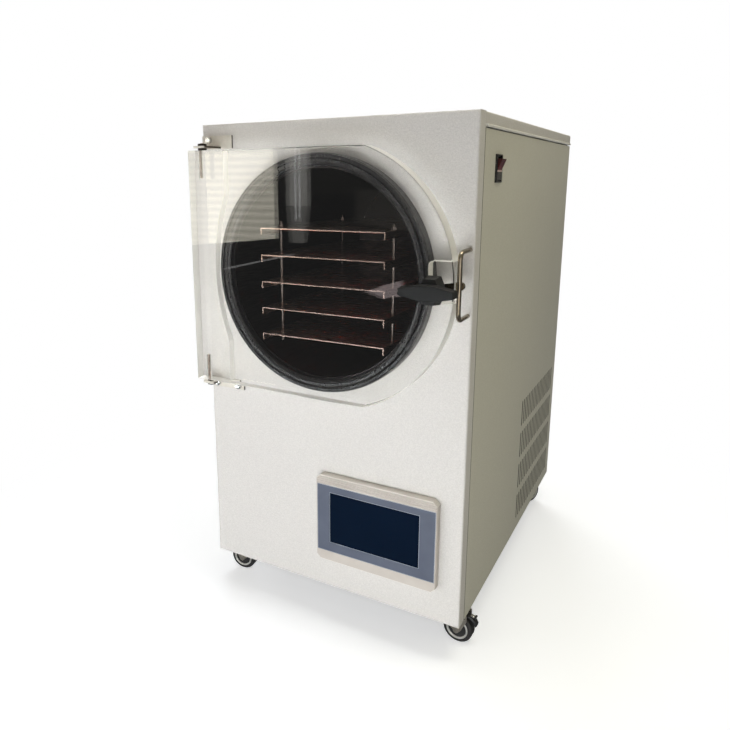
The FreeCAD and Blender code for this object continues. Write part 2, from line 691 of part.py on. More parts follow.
def hinge_bracket(width):
    """The upper bracket, or the lower one before it is mirrored."""
    top = TAB_UNDER + BRACKET_HEIGHT
    flange = block(BRACKET_LEFT, BRACKET_LEFT + width, -BRACKET_SHEET, 0, TAB_UNDER, top)
    tab = block(PIN_X - TAB_HALF, PIN_X + TAB_HALF, -TAB_REACH, 0, TAB_UNDER, TAB_UNDER + BRACKET_SHEET)
    front_corners = [e for e in edges_along(tab, AXIS_Z) if e.CenterOfMass.y < -SPILL]
    tab = tab.makeFillet(TAB_CORNER, front_corners)
    bore = rod(V(PIN_X, -PIN_AHEAD, TAB_UNDER - SPILL), V(PIN_X, -PIN_AHEAD, top), PIN_RADIUS + RUNNING)
    return fuse([flange, tab]).cut(bore)


def hinge_screw_holes():
    places = hinge_screw_places()
    return [rod(V(x, -BRACKET_SHEET - SPILL, z), V(x, BEND, z), SCREW_SHANK + RUNNING) for x, z in places]


def hinge_bracket_top():
    return cut(hinge_bracket(BRACKET_WIDTH), hinge_screw_holes())


def hinge_bracket_bottom():
    return cut(mirrored(hinge_bracket(LOW_BRACKET_WIDTH), AXIS_Z, CHAMBER_Z), hinge_screw_holes())


def hinge_pins():
    top = TAB_UNDER + BRACKET_SHEET + THIN_NUT + PIN_END
    pin = rod(V(PIN_X, -PIN_AHEAD, DOOR_TOP - PIN_DEPTH), V(PIN_X, -PIN_AHEAD, top), PIN_RADIUS)
    pin = pin.makeChamfer(PIN_CHAMFER, [pin.Edges[0], pin.Edges[2]])
    return Part.makeCompound([pin, mirrored(pin, AXIS_Z, CHAMBER_Z)])


def hinge_nuts():
    nuts = []
    for z in (TAB_UNDER - THIN_NUT, TAB_UNDER + BRACKET_SHEET):
        one = nut(V(PIN_X, -PIN_AHEAD, z), AXIS_Z, AXIS_X, THIN_NUT_FLATS, THIN_NUT, PIN_RADIUS + RUNNING)
        nuts += [one, mirrored(one, AXIS_Z, CHAMBER_Z)]
    return Part.makeCompound(nuts)


def bracket_screw(x, z):
    seat = -BRACKET_SHEET
    crown = seat - SCREW_HEAD_HEIGHT
    end = seat + SCREW_LENGTH
    profile = [
        (0, crown), (SCREW_HEAD - SCREW_CROWN, crown), (SCREW_HEAD, crown + SCREW_CROWN),
        (SCREW_HEAD, seat), (SCREW_SHANK, seat), (SCREW_SHANK, end), (0, end),
    ]
    return turned(profile, V(x, 0, z), AXIS_Y, AXIS_X)


def hinge_screws():
    return Part.makeCompound([bracket_screw(x, z) for x, z in hinge_screw_places()])


def keeper_handle():
    out = -KEEPER_REACH
    corners = [
        V(KEEPER_X, 0, KEEPER_HIGH), V(KEEPER_X, out, KEEPER_HIGH), V(KEEPER_X, out, KEEPER_LOW),
        V(KEEPER_X, 0, KEEPER_LOW),
    ]
    bar = bent_rod(corners, KEEPER_RADIUS, KEEPER_BEND)
    taps = []
    for z in (KEEPER_LOW, KEEPER_HIGH):
        taps.append(rod(V(KEEPER_X, -KEEPER_SCREW_LENGTH, z), V(KEEPER_X, SPILL, z),
                        KEEPER_SCREW_THREAD + RUNNING))
    return cut(bar, taps)


def keeper_screws():
    screws = []
    for z in (KEEPER_LOW, KEEPER_HIGH):
        tip = V(KEEPER_X, -KEEPER_SCREW_LENGTH + KEEPER_SCREW_GAP, z)
        shank = rod(tip, V(KEEPER_X, SHEET, z), KEEPER_SCREW_THREAD)
        head = rod(V(KEEPER_X, SHEET, z), V(KEEPER_X, SHEET + KEEPER_SCREW_HEAD, z), KEEPER_SCREW_HEAD)
        screws.append(fuse([shank, head]))
    return Part.makeCompound(screws)


def latch_spindle():
    back = -KEEPER_REACH + KEEPER_RADIUS + FIT
    tongue_end = TONGUE_LENGTH - TONGUE_HALF
    bar = block(0, tongue_end, back, back + TONGUE_THICKNESS, -TONGUE_HALF, TONGUE_HALF)
    nose = rod(V(tongue_end, back, 0), V(tongue_end, back + TONGUE_THICKNESS, 0), TONGUE_HALF)
    tail = V(0, back + TONGUE_THICKNESS + SPINDLE_TAIL, 0)
    boss = rod(V(0, back, 0), tail, SPINDLE_RADIUS + SPINDLE_SHOULDER)
    shaft = rod(V(0, -DOOR_FRONT - HUB_LENGTH + HUB_CAP, 0), V(0, back + SPILL, 0), SPINDLE_RADIUS)
    whole = fuse([bar, nose, boss, shaft])
    whole.rotate(V(0, 0, 0), AXIS_Y, -TONGUE_ANGLE)
    whole.translate(V(LATCH_X, 0, LATCH_Z))
    return whole


def hub_outline(y, share):
    across = HUB_HALF_WIDTH * share
    flat = HUB_FLAT * share
    up = HUB_HALF_HEIGHT * share
    corners = [(across, 0), (flat, up), (-flat, up), (-across, 0), (-flat, -up), (flat, -up), (across, 0)]
    return Part.makePolygon([V(x, y, z) for x, z in corners])


def latch_knob():
    base = -DOOR_FRONT - KNOB_GAP
    neck = base - HUB_LENGTH
    front = neck - WING_DEPTH
    hub = Part.makeLoft([hub_outline(base, 1), hub_outline(neck - WING_ROUND, HUB_TAPER)], True, True)
    wing = plate_xz([
        (-WING_HALF, -WING_TIP), (-WING_FLAT, -WING_MIDDLE), (WING_FLAT, -WING_MIDDLE),
        (WING_HALF, -WING_TIP), (WING_HALF, WING_TIP), (WING_FLAT, WING_MIDDLE),
        (-WING_FLAT, WING_MIDDLE), (-WING_HALF, WING_TIP),
    ], front, neck)
    wing = wing.makeFillet(WING_ROUND, edges_at(wing, "y", front) + edges_along(wing, AXIS_Y))
    bottom = V(0, -DOOR_FRONT - HUB_LENGTH + HUB_CAP - RUNNING, 0)
    knob = fuse([hub, wing]).cut(rod(bottom, V(0, 0, 0), SPINDLE_RADIUS + RUNNING))
    knob.translate(V(LATCH_X, 0, LATCH_Z))
    return knob


# ---- shelf rack ----
def shelf_top(level):
    return SHELF_TOP + level * SHELF_PITCH


def rod_places():
    return [(CHAMBER_X + side * ROD_SPREAD, y) for side in (-1, 1) for y in (ROD_FRONT, ROD_REAR)]


def shelf(level):
    top = shelf_top(level)
    left = CHAMBER_X - SHELF_HALF
    right = CHAMBER_X + SHELF_HALF
    back = SHELF_FRONT + SHELF_LENGTH
    tray = block(left, right, SHELF_FRONT, back, top - SHELF_LIP, top)
    hollow = block(left + SHELF_SHEET, right - SHELF_SHEET, SHELF_FRONT - SPILL, back + SPILL,
                   top - SHELF_LIP - SPILL, top - SHELF_SHEET)
    bores = []
    for x, y in rod_places():
        bores.append(rod(V(x, y, top - SHELF_LIP), V(x, y, top + SPILL), ROD_RADIUS + ROD_FIT))
    return cut(tray, [hollow] + bores)


def heater_mats():
    mats = []
    left = CHAMBER_X - SHELF_HALF + MAT_BORDER
    right = CHAMBER_X + SHELF_HALF - MAT_BORDER
    for level in range(SHELF_COUNT):
        under = shelf_top(level) - SHELF_SHEET
        mats.append(block(left, right, SHELF_FRONT + MAT_BORDER, SHELF_FRONT + SHELF_LENGTH - MAT_BORDER,
                          under - MAT_SHEET, under))
    return Part.makeCompound(mats)


def rack_rods():
    reach = ROD_SPREAD + ROD_RADIUS
    foot = CHAMBER_Z - math.sqrt(CHAMBER_BORE ** 2 - reach ** 2) + ROD_FIT
    rods = [rod(V(x, y, foot), V(x, y, ROD_TOP), ROD_RADIUS) for x, y in rod_places()]
    return Part.makeCompound(rods)


def rack_nuts():
    nuts = []
    for x, y in rod_places():
        for level in range(SHELF_COUNT):
            under = shelf_top(level) - SHELF_SHEET - NUT_HEIGHT
            nuts.append(nut(V(x, y, under), AXIS_Z, AXIS_Y, NUT_FLATS, NUT_HEIGHT, ROD_RADIUS + RUNNING))
        top = shelf_top(SHELF_COUNT - 1)
        nuts.append(nut(V(x, y, top), AXIS_Z, AXIS_Y, NUT_FLATS, NUT_HEIGHT, ROD_RADIUS + RUNNING))
    return Part.makeCompound(nuts)


# ---- touch panel ----
def chamfered_rectangle(x0, x1, z0, z1, corner):
    return [
        (x0 + corner, z0), (x1 - corner, z0), (x1, z0 + corner), (x1, z1 - corner),
        (x1 - corner, z1), (x0 + corner, z1), (x0, z1 - corner), (x0, z0 + corner),
    ]


def overlay_box():
    x0 = PANEL_LEFT + OVERLAY_SIDE
    x1 = PANEL_LEFT + PANEL_WIDTH - OVERLAY_SIDE
    z0 = PANEL_BOTTOM + OVERLAY_BOTTOM
    z1 = PANEL_BOTTOM + PANEL_HEIGHT - OVERLAY_TOP
    return block(x0, x1, -PANEL_PROUD, -PANEL_PROUD + OVERLAY_SHEET, z0, z1)


def screen_window(front, back):
    x0 = PANEL_LEFT + SCREEN_LEFT
    z0 = PANEL_BOTTOM + SCREEN_RISE
    return block(x0, x0 + SCREEN_WIDTH, front, back, z0, z0 + SCREEN_HEIGHT)


def touch_panel_frame():
    right = PANEL_LEFT + PANEL_WIDTH
    top = PANEL_BOTTOM + PANEL_HEIGHT
    outline = chamfered_rectangle(PANEL_LEFT, right, PANEL_BOTTOM, top, PANEL_CORNER)
    frame = plate_xz(outline, -PANEL_PROUD, 0)
    frame = frame.makeChamfer(PANEL_BEVEL, edges_at(frame, "y", -PANEL_PROUD))
    hollows = [overlay_box()]
    hollows.append(screen_window(-PANEL_PROUD, -PANEL_PROUD + SCREEN_SUNK + SCREEN_GLASS))
    for index in range(BAR_GROOVES):
        z = top - PANEL_BEVEL - BAR_GROOVE_PITCH * (index + 1)
        hollows.append(block(PANEL_LEFT - SPILL, right + SPILL, -PANEL_PROUD - SPILL,
                             -PANEL_PROUD + BAR_GROOVE, z, z + BAR_GROOVE))
    return cut(frame, hollows)


def touch_panel_overlay():
    return overlay_box().cut(screen_window(-PANEL_PROUD - SPILL, 0))


def touch_screen():
    front = -PANEL_PROUD + SCREEN_SUNK
    return screen_window(front, front + SCREEN_GLASS)


def touch_panel_housing():
    inset = PANEL_BOX_INSET
    return block(PANEL_LEFT + inset, PANEL_LEFT + PANEL_WIDTH - inset, 0, PANEL_BOX_DEPTH,
                 PANEL_BOTTOM + inset, PANEL_BOTTOM + PANEL_HEIGHT - inset)


# ---- rocker switch ----
def switch_housing():
    rim_y = SWITCH_WIDTH / 2
    rim_z = SWITCH_HEIGHT / 2
    body_y = rim_y - SWITCH_RIM
    body_z = rim_z - SWITCH_RIM
    face = WIDTH + SWITCH_PROUD
    rim = block(WIDTH, face, SWITCH_Y - rim_y, SWITCH_Y + rim_y, SWITCH_Z - rim_z, SWITCH_Z + rim_z)
    rim = rim.makeChamfer(SWITCH_BEVEL, edges_at(rim, "x", face))
    body = block(WIDTH - SWITCH_BODY, WIDTH, SWITCH_Y - body_y, SWITCH_Y + body_y,
                 SWITCH_Z - body_z, SWITCH_Z + body_z)
    well_y = body_y - SWITCH_WALL
    well_z = body_z + SWITCH_WALL / 2
    inner_z = body_z - SWITCH_WALL
    mouth = block(WIDTH, face + SPILL, SWITCH_Y - well_y, SWITCH_Y + well_y,
                  SWITCH_Z - well_z, SWITCH_Z + well_z)
    well = block(WIDTH - SWITCH_BODY + SWITCH_WALL, WIDTH + SPILL, SWITCH_Y - well_y, SWITCH_Y + well_y,
                 SWITCH_Z - inner_z, SWITCH_Z + inner_z)
    pivot_x = WIDTH - ROCKER_PIVOT_DEPTH
    bearing = rod(V(pivot_x, SWITCH_Y - body_y, SWITCH_Z), V(pivot_x, SWITCH_Y + body_y, SWITCH_Z),
                  ROCKER_PIN + RUNNING)
    return cut(fuse([rim, body]), [mouth, well, bearing])


def switch_rocker():
    width = SWITCH_WIDTH / 2 - SWITCH_RIM - SWITCH_WALL - ROCKER_FIT
    face = closed_face([
        V(ROCKER_VALLEY, -width, 0), V(ROCKER_CREST, -width, ROCKER_HALF), V(0, -width, ROCKER_WAIST),
        V(-ROCKER_KEEL, -width, ROCKER_KEEL / 2), V(-ROCKER_KEEL, -width, -ROCKER_KEEL / 2),
        V(0, -width, -ROCKER_WAIST), V(ROCKER_CREST, -width, -ROCKER_HALF),
    ])
    button = face.extrude(V(0, 2 * width, 0))
    arm = SWITCH_WIDTH / 2 - SWITCH_RIM
    pin = rod(V(0, -arm, 0), V(0, arm, 0), ROCKER_PIN)
    rocker = fuse([button, pin])
    rocker.rotate(V(0, 0, 0), AXIS_Y, ROCKER_TILT)
    rocker.translate(V(WIDTH - ROCKER_PIVOT_DEPTH, SWITCH_Y, SWITCH_Z))
    return rocker


# ---- refrigeration and power ----
def compressor():
    foot = BASE_SHEET + MOUNT_HEIGHT
    low = foot + FOOT_SHEET
    top = low + COMPRESSOR_HEIGHT
    centre = V(COMPRESSOR_X, COMPRESSOR_Y, 0)
    profile = [
        (0, low), (COMPRESSOR_BASE, low), (COMPRESSOR_RADIUS, low + COMPRESSOR_CROWN / 2),
        (COMPRESSOR_RADIUS, top - COMPRESSOR_CROWN), (COMPRESSOR_SHOULDER, top - SHOULDER_DROP), (0, top),
    ]
    can = turned(profile, centre, AXIS_Z, AXIS_X)
    plate = block(COMPRESSOR_X - FOOT_HALF_X, COMPRESSOR_X + FOOT_HALF_X, COMPRESSOR_Y - FOOT_HALF_Y,
                  COMPRESSOR_Y + FOOT_HALF_Y, foot, low)
    return fuse([can, plate])


def compressor_mounts():
    mounts = []
    for sx in (-1, 1):
        for sy in (-1, 1):
            x = COMPRESSOR_X + sx * (FOOT_HALF_X - MOUNT_RADIUS)
            y = COMPRESSOR_Y + sy * (FOOT_HALF_Y - MOUNT_RADIUS)
            mounts.append(rod(V(x, y, BASE_SHEET), V(x, y, BASE_SHEET + MOUNT_HEIGHT), MOUNT_RADIUS))
    return Part.makeCompound(mounts)


def condenser_core():
    back = CORE_FRONT + CORE_LENGTH
    core = block(CORE_LEFT, CORE_RIGHT, CORE_FRONT, back, BASE_SHEET, CORE_TOP)
    rim = CORE_FRAME
    recess = block(CORE_RIGHT - CORE_RECESS, CORE_RIGHT + SPILL, CORE_FRONT + rim, back - rim,
                   BASE_SHEET + rim, CORE_TOP - rim)
    return core.cut(recess)


def fan_frame():
    back = CORE_LEFT
    front = back - FAN_DEPTH
    half = FAN_SIDE / 2
    axis_start = V(front - SPILL, FAN_Y, FAN_Z)
    body = block(front, back, FAN_Y - half, FAN_Y + half, FAN_Z - half, FAN_Z + half)
    body = body.cut(rod(axis_start, V(back + SPILL, FAN_Y, FAN_Z), FAN_BORE))
    strut = FAN_SEAT / 2
    bars = [
        block(front, front + strut, FAN_Y - half, FAN_Y + half, FAN_Z - strut, FAN_Z + strut),
        block(front, front + strut, FAN_Y - strut, FAN_Y + strut, FAN_Z - half, FAN_Z + half),
    ]
    seat = rod(V(front, FAN_Y, FAN_Z), V(front + FAN_SEAT, FAN_Y, FAN_Z), FAN_HUB)
    shaft_end = front + FAN_SEAT + FAN_HUB_LENGTH / 2
    shaft = rod(V(front, FAN_Y, FAN_Z), V(shaft_end, FAN_Y, FAN_Z), FAN_SHAFT)
    return fuse([body, seat, shaft] + bars)


def fan_impeller():
    start = CORE_LEFT - FAN_DEPTH + FAN_SEAT + FAN_GAP
    hub = rod(V(start, 0, 0), V(start + FAN_HUB_LENGTH, 0, 0), FAN_HUB)
    blades = []
    for index in range(BLADE_COUNT):
        blade = block(-BLADE_SHEET / 2, BLADE_SHEET / 2, -BLADE_CHORD / 2, BLADE_CHORD / 2,
                      FAN_HUB / 2, FAN_SWEEP + FAN_HUB)
        blade.rotate(V(0, 0, 0), AXIS_Z, BLADE_PITCH)
        blade.translate(V(start + FAN_HUB_LENGTH / 2, 0, 0))
        blade.rotate(V(0, 0, 0), AXIS_X, 360 * index / BLADE_COUNT)
        blades.append(blade)
    sweep = rod(V(start, 0, 0), V(start + FAN_HUB_LENGTH, 0, 0), FAN_SWEEP)
    wheel = fuse([hub] + blades).common(sweep)
    bore = rod(V(start - SPILL, 0, 0), V(start + FAN_HUB_LENGTH / 2, 0, 0), FAN_SHAFT + RUNNING)
    wheel = wheel.cut(bore)
    wheel.translate(V(0, FAN_Y, FAN_Z))
    return wheel


def control_box():
    return block(CONTROL_LEFT, CONTROL_LEFT + CONTROL_WIDTH, CONTROL_FRONT, CONTROL_FRONT + CONTROL_DEPTH,
                 BASE_SHEET, BASE_SHEET + CONTROL_HEIGHT)


def centred_block(centre_x, centre_z, half_x, half_z, y0, y1):
    return block(centre_x - half_x, centre_x + half_x, y0, y1, centre_z - half_z, centre_z + half_z)


def power_inlet():
    outer = DEPTH + INLET_PROUD
    inner = DEPTH - INLET_BODY_DEPTH
    flange = centred_block(INLET_X, INLET_Z, INLET_WIDTH / 2, INLET_HEIGHT / 2, DEPTH, outer)
    body_x = INLET_BODY_WIDTH / 2
    body_z = INLET_BODY_HEIGHT / 2
    body = centred_block(INLET_X, INLET_Z, body_x, body_z, inner, DEPTH)
    well_x = body_x - INLET_WALL
    well_z = body_z - INLET_WALL
    floor = inner + 2 * INLET_WALL
    well = centred_block(INLET_X, INLET_Z, well_x, well_z, floor, outer + SPILL)
    prongs = []
    for place in (-1, 0, 1):
        x = INLET_X + place * well_x / 2
        prongs.append(centred_block(x, INLET_Z, PRONG / 2, PRONG, floor - SPILL, DEPTH - PRONG))
    return fuse([fuse([flange, body]).cut(well)] + prongs)


# ---- rear connections ----
def vacuum_port():
    start = DISH_BACK
    end = DEPTH + PORT_END
    outside = VAPOUR_BORE + VAPOUR_WALL
    profile = [
        (VAPOUR_BORE, start), (outside, start), (outside, DEPTH), (PORT_COLLAR, DEPTH),
        (PORT_COLLAR, DEPTH + PORT_COLLAR_SHEET), (outside, DEPTH + PORT_COLLAR_SHEET),
        (outside, end - 2 * PORT_FLANGE_RIM), (PORT_FLANGE, end - PORT_FLANGE_RIM), (PORT_FLANGE, end),
        (VAPOUR_BORE, end),
    ]
    return turned(profile, V(CHAMBER_X, 0, CHAMBER_Z), AXIS_Y, AXIS_X)


def drain_pipe():
    top = CHAMBER_Z - CHAMBER_OUTSIDE - RUNNING
    corner = V(CHAMBER_X, DRAIN_Y, DRAIN_Z)
    end = V(CHAMBER_X, DEPTH + DRAIN_END, DRAIN_Z)
    return bent_rod([V(CHAMBER_X, DRAIN_Y, top), corner, end], DRAIN_BORE + DRAIN_WALL, DRAIN_BEND)


def drain_valve():
    centre = V(CHAMBER_X, 0, DRAIN_Z)
    start = DEPTH + DRAIN_END
    end = start + VALVE_LENGTH
    first = hexagon(centre + AXIS_Y * start, AXIS_Y, AXIS_X, VALVE_FLATS, VALVE_END)
    last = hexagon(centre + AXIS_Y * (end - VALVE_END), AXIS_Y, AXIS_X, VALVE_FLATS, VALVE_END)
    barrel = rod(centre + AXIS_Y * start, centre + AXIS_Y * end, VALVE_RADIUS)
    middle = centre + AXIS_Y * (start + VALVE_LENGTH / 2)
    stem = rod(middle, middle + AXIS_Z * VALVE_STEM_RISE, VALVE_STEM)
    collar = rod(middle, middle + AXIS_Z * (lever_rise() - RUNNING), VALVE_COLLAR)
    bore = rod(centre + AXIS_Y * (end - VALVE_END - SPILL), centre + AXIS_Y * (end + SPILL), DRAIN_BORE)
    return fuse([first, last, barrel, stem, collar]).cut(bore)


def lever_rise():
    return VALVE_STEM_RISE - STEM_END - LEVER_SHEET


def drain_lever():
    middle = V(CHAMBER_X, DEPTH + DRAIN_END + VALVE_LENGTH / 2, DRAIN_Z)
    under = lever_rise()
    bar = block(0, LEVER_LENGTH - LEVER_HALF, -LEVER_HALF, LEVER_HALF, under, under + LEVER_SHEET)
    end = V(LEVER_LENGTH - LEVER_HALF, 0, under)
    nose = rod(end, end + AXIS_Z * LEVER_SHEET, LEVER_HALF)
    eye = rod(V(0, 0, under), V(0, 0, under + LEVER_SHEET), LEVER_EYE)
    bore = rod(V(0, 0, under - SPILL), V(0, 0, under + LEVER_SHEET + SPILL), VALVE_STEM + RUNNING)
    lever = fuse([bar, nose, eye]).cut(bore)
    lever.translate(middle)
    return lever


# ---- casters: each is drawn trailing along +X from its swivel axis, then turned to its heading ----
def caster_place(corner):
    right, rear, heading, brake = CASTERS[corner]
    x = WIDTH - CASTER_INSET_X if right else CASTER_INSET_X
    y = DEPTH - CASTER_INSET_Y if rear else CASTER_INSET_Y
    return V(x, y, 0), heading


def placed(shape, corner):
    place, heading = caster_place(corner)
    shape.rotate(V(0, 0, 0), AXIS_Z, heading)
    shape.translate(place)
    return shape


def caster_plates():
    plates = []
    for corner in CASTERS:
        place = caster_place(corner)[0]
        half = PLATE_SIDE / 2
        plate = block(-half, half, -half, half, -PLATE_SHEET, 0)
        plate = plate.makeFillet(PLATE_CORNER, edges_along(plate, AXIS_Z))
        race = rod(V(0, 0, -PLATE_SHEET - RACE_HEIGHT), V(0, 0, -PLATE_SHEET), RACE_RADIUS)
        unit = fuse([plate, race])
        unit.translate(place)
        plates.append(unit)
    return Part.makeCompound(plates)


def caster_fork(corner):
    crown_top = -PLATE_SHEET - RACE_HEIGHT - RACE_GAP
    crown_low = crown_top - CROWN_SHEET
    axle_z = WHEEL_RADIUS - CASTER_HEIGHT
    inner = WHEEL_WIDTH / 2 + FORK_GAP
    outer = inner + FORK_SHEET
    ear = PEDAL_PIN_S + 2 * FORK_SHEET
    cheek_points = [
        (-RACE_RADIUS, crown_top), (ear, crown_top), (ear, crown_low - FORK_BOSS),
        (TRAIL + FORK_BOSS, axle_z), (TRAIL, axle_z - FORK_BOSS), (TRAIL - FORK_BOSS, axle_z),
        (-RACE_RADIUS, crown_low - FORK_SHEET),
    ]
    crown = rod(V(0, 0, crown_low), V(0, 0, crown_top), RACE_RADIUS)
    pieces = [crown.fuse(block(-RACE_RADIUS, RACE_RADIUS, -outer, outer, crown_low, crown_top))]
    pin = V(PEDAL_PIN_S, 0, PEDAL_PIN_Z)
    axle = V(TRAIL, 0, axle_z)
    for side in (-1, 1):
        cheek = plate_xz(cheek_points, side * inner, side * outer)
        pieces.append(cheek)
        head = side * (outer + AXLE_HEAD_HEIGHT)
        pieces.append(rod(axle + AXIS_Y * side * outer, axle + AXIS_Y * head, AXLE_HEAD))
    pieces.append(rod(axle - AXIS_Y * outer, axle + AXIS_Y * outer, AXLE_RADIUS))
    fork = fuse(pieces)
    if CASTERS[corner][3]:
        reach = AXIS_Y * (outer + SPILL)
        fork = fork.cut(rod(pin - reach, pin + reach, PEDAL_PIN + RUNNING))
    return placed(fork, corner)


def caster_wheel(corner):
    half = WHEEL_WIDTH / 2
    tread = WHEEL_RADIUS
    centre = V(TRAIL, 0, WHEEL_RADIUS - CASTER_HEIGHT)
    side = [
        (AXLE_RADIUS + RUNNING, half), (2 * AXLE_RADIUS, half), (2 * AXLE_RADIUS, half - RIM_STEP),
        (RIM_RADIUS - RIM_LIP, half - RIM_STEP), (RIM_RADIUS - RIM_LIP, half), (RIM_RADIUS, half),
        (RIM_RADIUS, half - RIM_STEP / 2), (tread - WHEEL_ROUND, half - RIM_STEP / 2),
        (tread, half - RIM_STEP / 2 - WHEEL_ROUND),
    ]
    other = [(r, -a) for r, a in reversed(side)]
    return placed(turned(side + other, centre, AXIS_Y, AXIS_X), corner)


def caster_pedal(corner):
    half = WHEEL_WIDTH / 2
    pin = V(PEDAL_PIN_S, 0, PEDAL_PIN_Z)
    high = PEDAL_PIN_Z + 3 * PEDAL_PIN
    back = PEDAL_PIN_S - 2 * PEDAL_PIN
    profile = [
        (back, high), (PEDAL_REACH - FORK_BOSS, high), (PEDAL_REACH, high + 2 * PEDAL_PIN),
        (PEDAL_REACH, high - PEDAL_PIN), (PEDAL_REACH - FORK_BOSS, PEDAL_PIN_Z - 4 * PEDAL_PIN),
        (PEDAL_PIN_S + FORK_BOSS, PEDAL_PIN_Z - 2 * PEDAL_PIN), (back, PEDAL_PIN_Z),
    ]
    lever = plate_xz(profile, -half, half)
    outer = half + FORK_GAP + FORK_SHEET
    pedal = fuse([lever, rod(pin - AXIS_Y * outer, pin + AXIS_Y * outer, PEDAL_PIN)])
    return placed(pedal, corner)


# ---- the machine ----
NODES = {
    "base_pan": base_pan(),
    "front_panel": front_panel(),
    "left_side_panel": left_side_panel(),
    "right_side_panel": right_side_panel(),
    "top_cover": top_cover(),
    "rear_panel": rear_panel(),
    "corner_posts": corner_posts(),
    "chamber_deck": chamber_deck(),
    "chamber_saddles": chamber_saddles(),
    "chamber_shell": chamber_shell(),
    "chamber_insulation": chamber_insulation(),
    "door_gasket": door_gasket(),
    "door": door(),
    "hinge_bracket_top": hinge_bracket_top(),
    "hinge_bracket_bottom": hinge_bracket_bottom(),
    "hinge_pins": hinge_pins(),
    "hinge_nuts": hinge_nuts(),
    "hinge_screws": hinge_screws(),
    "keeper_handle": keeper_handle(),
    "keeper_screws": keeper_screws(),
    "latch_spindle": latch_spindle(),
    "latch_knob": latch_knob(),
    "heater_mats": heater_mats(),
    "rack_rods": rack_rods(),
    "rack_nuts": rack_nuts(),
    "touch_panel_frame": touch_panel_frame(),
    "touch_panel_overlay": touch_panel_overlay(),
    "touch_screen": touch_screen(),
    "touch_panel_housing": touch_panel_housing(),
    "switch_housing": switch_housing(),
    "switch_rocker": switch_rocker(),
    "compressor": compressor(),
    "compressor_mounts": compressor_mounts(),
    "condenser_core": condenser_core(),
    "fan_frame": fan_frame(),
    "fan_impeller": fan_impeller(),
    "control_box": control_box(),
    "power_inlet": power_inlet(),
    "vacuum_port": vacuum_port(),
    "drain_pipe": drain_pipe(),
    "drain_valve": drain_valve(),
    "drain_lever": drain_lever(),
    "caster_plates": caster_plates(),
}
for level in range(SHELF_COUNT):
    NODES["shelf_%d" % (level + 1)] = shelf(level)
for corner in CASTERS:
    NODES["caster_fork_" + corner] = caster_fork(corner)
    NODES["caster_wheel_" + corner] = caster_wheel(corner)
    if CASTERS[corner][3]:
        NODES["brake_pedal_" + corner] = caster_pedal(corner)

# The origin lies on the floor, in the middle of the whole machine as it stands with its door shut.
REACH = Part.makeCompound(list(NODES.values())).optimalBoundingBox(True, False)
ORIGIN = V((REACH.XMin + REACH.XMax) / 2, (REACH.YMin + REACH.YMax) / 2, -CASTER_HEIGHT)

os.makedirs("parts", exist_ok=True)
for name, solid in NODES.items():
    solid.translate(ORIGIN * -1)
    solid.exportStep("parts/%s.step" % name)
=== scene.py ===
import json
import math

import bmesh
import bpy
from mathutils import Matrix, Vector


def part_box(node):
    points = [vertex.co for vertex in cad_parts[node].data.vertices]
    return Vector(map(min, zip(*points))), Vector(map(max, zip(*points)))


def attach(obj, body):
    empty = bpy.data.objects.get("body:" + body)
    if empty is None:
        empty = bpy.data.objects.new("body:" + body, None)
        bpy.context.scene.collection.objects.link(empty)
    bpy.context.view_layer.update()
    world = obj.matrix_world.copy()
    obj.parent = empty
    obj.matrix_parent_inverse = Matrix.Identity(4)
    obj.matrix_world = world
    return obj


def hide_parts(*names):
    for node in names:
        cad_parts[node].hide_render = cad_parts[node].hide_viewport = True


# The dressed freeze dryer. Metres; at() takes millimetres from the lower left corner of the cabinet's front.
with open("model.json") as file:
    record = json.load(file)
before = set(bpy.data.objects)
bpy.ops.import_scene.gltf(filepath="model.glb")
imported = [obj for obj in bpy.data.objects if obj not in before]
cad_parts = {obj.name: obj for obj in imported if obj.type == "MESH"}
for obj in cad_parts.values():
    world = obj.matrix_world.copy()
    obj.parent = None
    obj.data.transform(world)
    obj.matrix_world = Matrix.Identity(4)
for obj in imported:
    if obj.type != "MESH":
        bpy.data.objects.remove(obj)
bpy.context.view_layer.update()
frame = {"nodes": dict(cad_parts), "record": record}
NODES = frame["nodes"]
JOINTS = {joint["name"]: joint for joint in frame["record"]["behaviour"]["joints"]}
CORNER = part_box("front_panel")[0]
CORNERS = ("front_left", "front_right", "rear_left", "rear_right")
UP = Vector((0, 0, 1))

CAMERA_PLACE = (715.8, -859.16, 662.99)
CAMERA_YAW, CAMERA_PITCH, CAMERA_ROLL = (math.radians(angle) for angle in (30.04, 12.08, -0.32))
SENSOR_WIDTH = 36
FOCAL_LENGTH = 32.547947
CAMERA_SHIFT = (0.06, -0.06)

# Name, place and target in millimetres, width and height in metres, watts, colour.
LAMPS = (
    ("low_front", (60, -1000, 0), (200, 0, 0), (1.7, 0.24), 8.4, (0.9, 0.955, 1.0)),
    ("low_right", (520, -900, 30), (440, 0, 30), (0.4, 0.3), 3.6, (1.0, 0.98, 0.94)),
    ("high_left", (-700, -900, 500), (100, 0, 350), (0.8, 0.8), 3.6, (1.0, 0.93, 0.86)),
    ("right_side", (860, 60, 430), (455, 60, 430), (0.2, 0.8), 0.3, (1.0, 0.95, 0.62)),
    ("overhead", (300, -60, 1800), (300, -60, 0), (0.9, 0.2), 6.5, (1.0, 0.98, 0.96)),
    ("lid", (1000, 300, 1900), (455, 300, 700), (0.6, 0.6), 7, (1.0, 0.94, 0.74)),
    ("rear", (-1100, 2700, 1500), (200, 600, 400), (1.8, 1.8), 46, (1, 1, 1)),
)

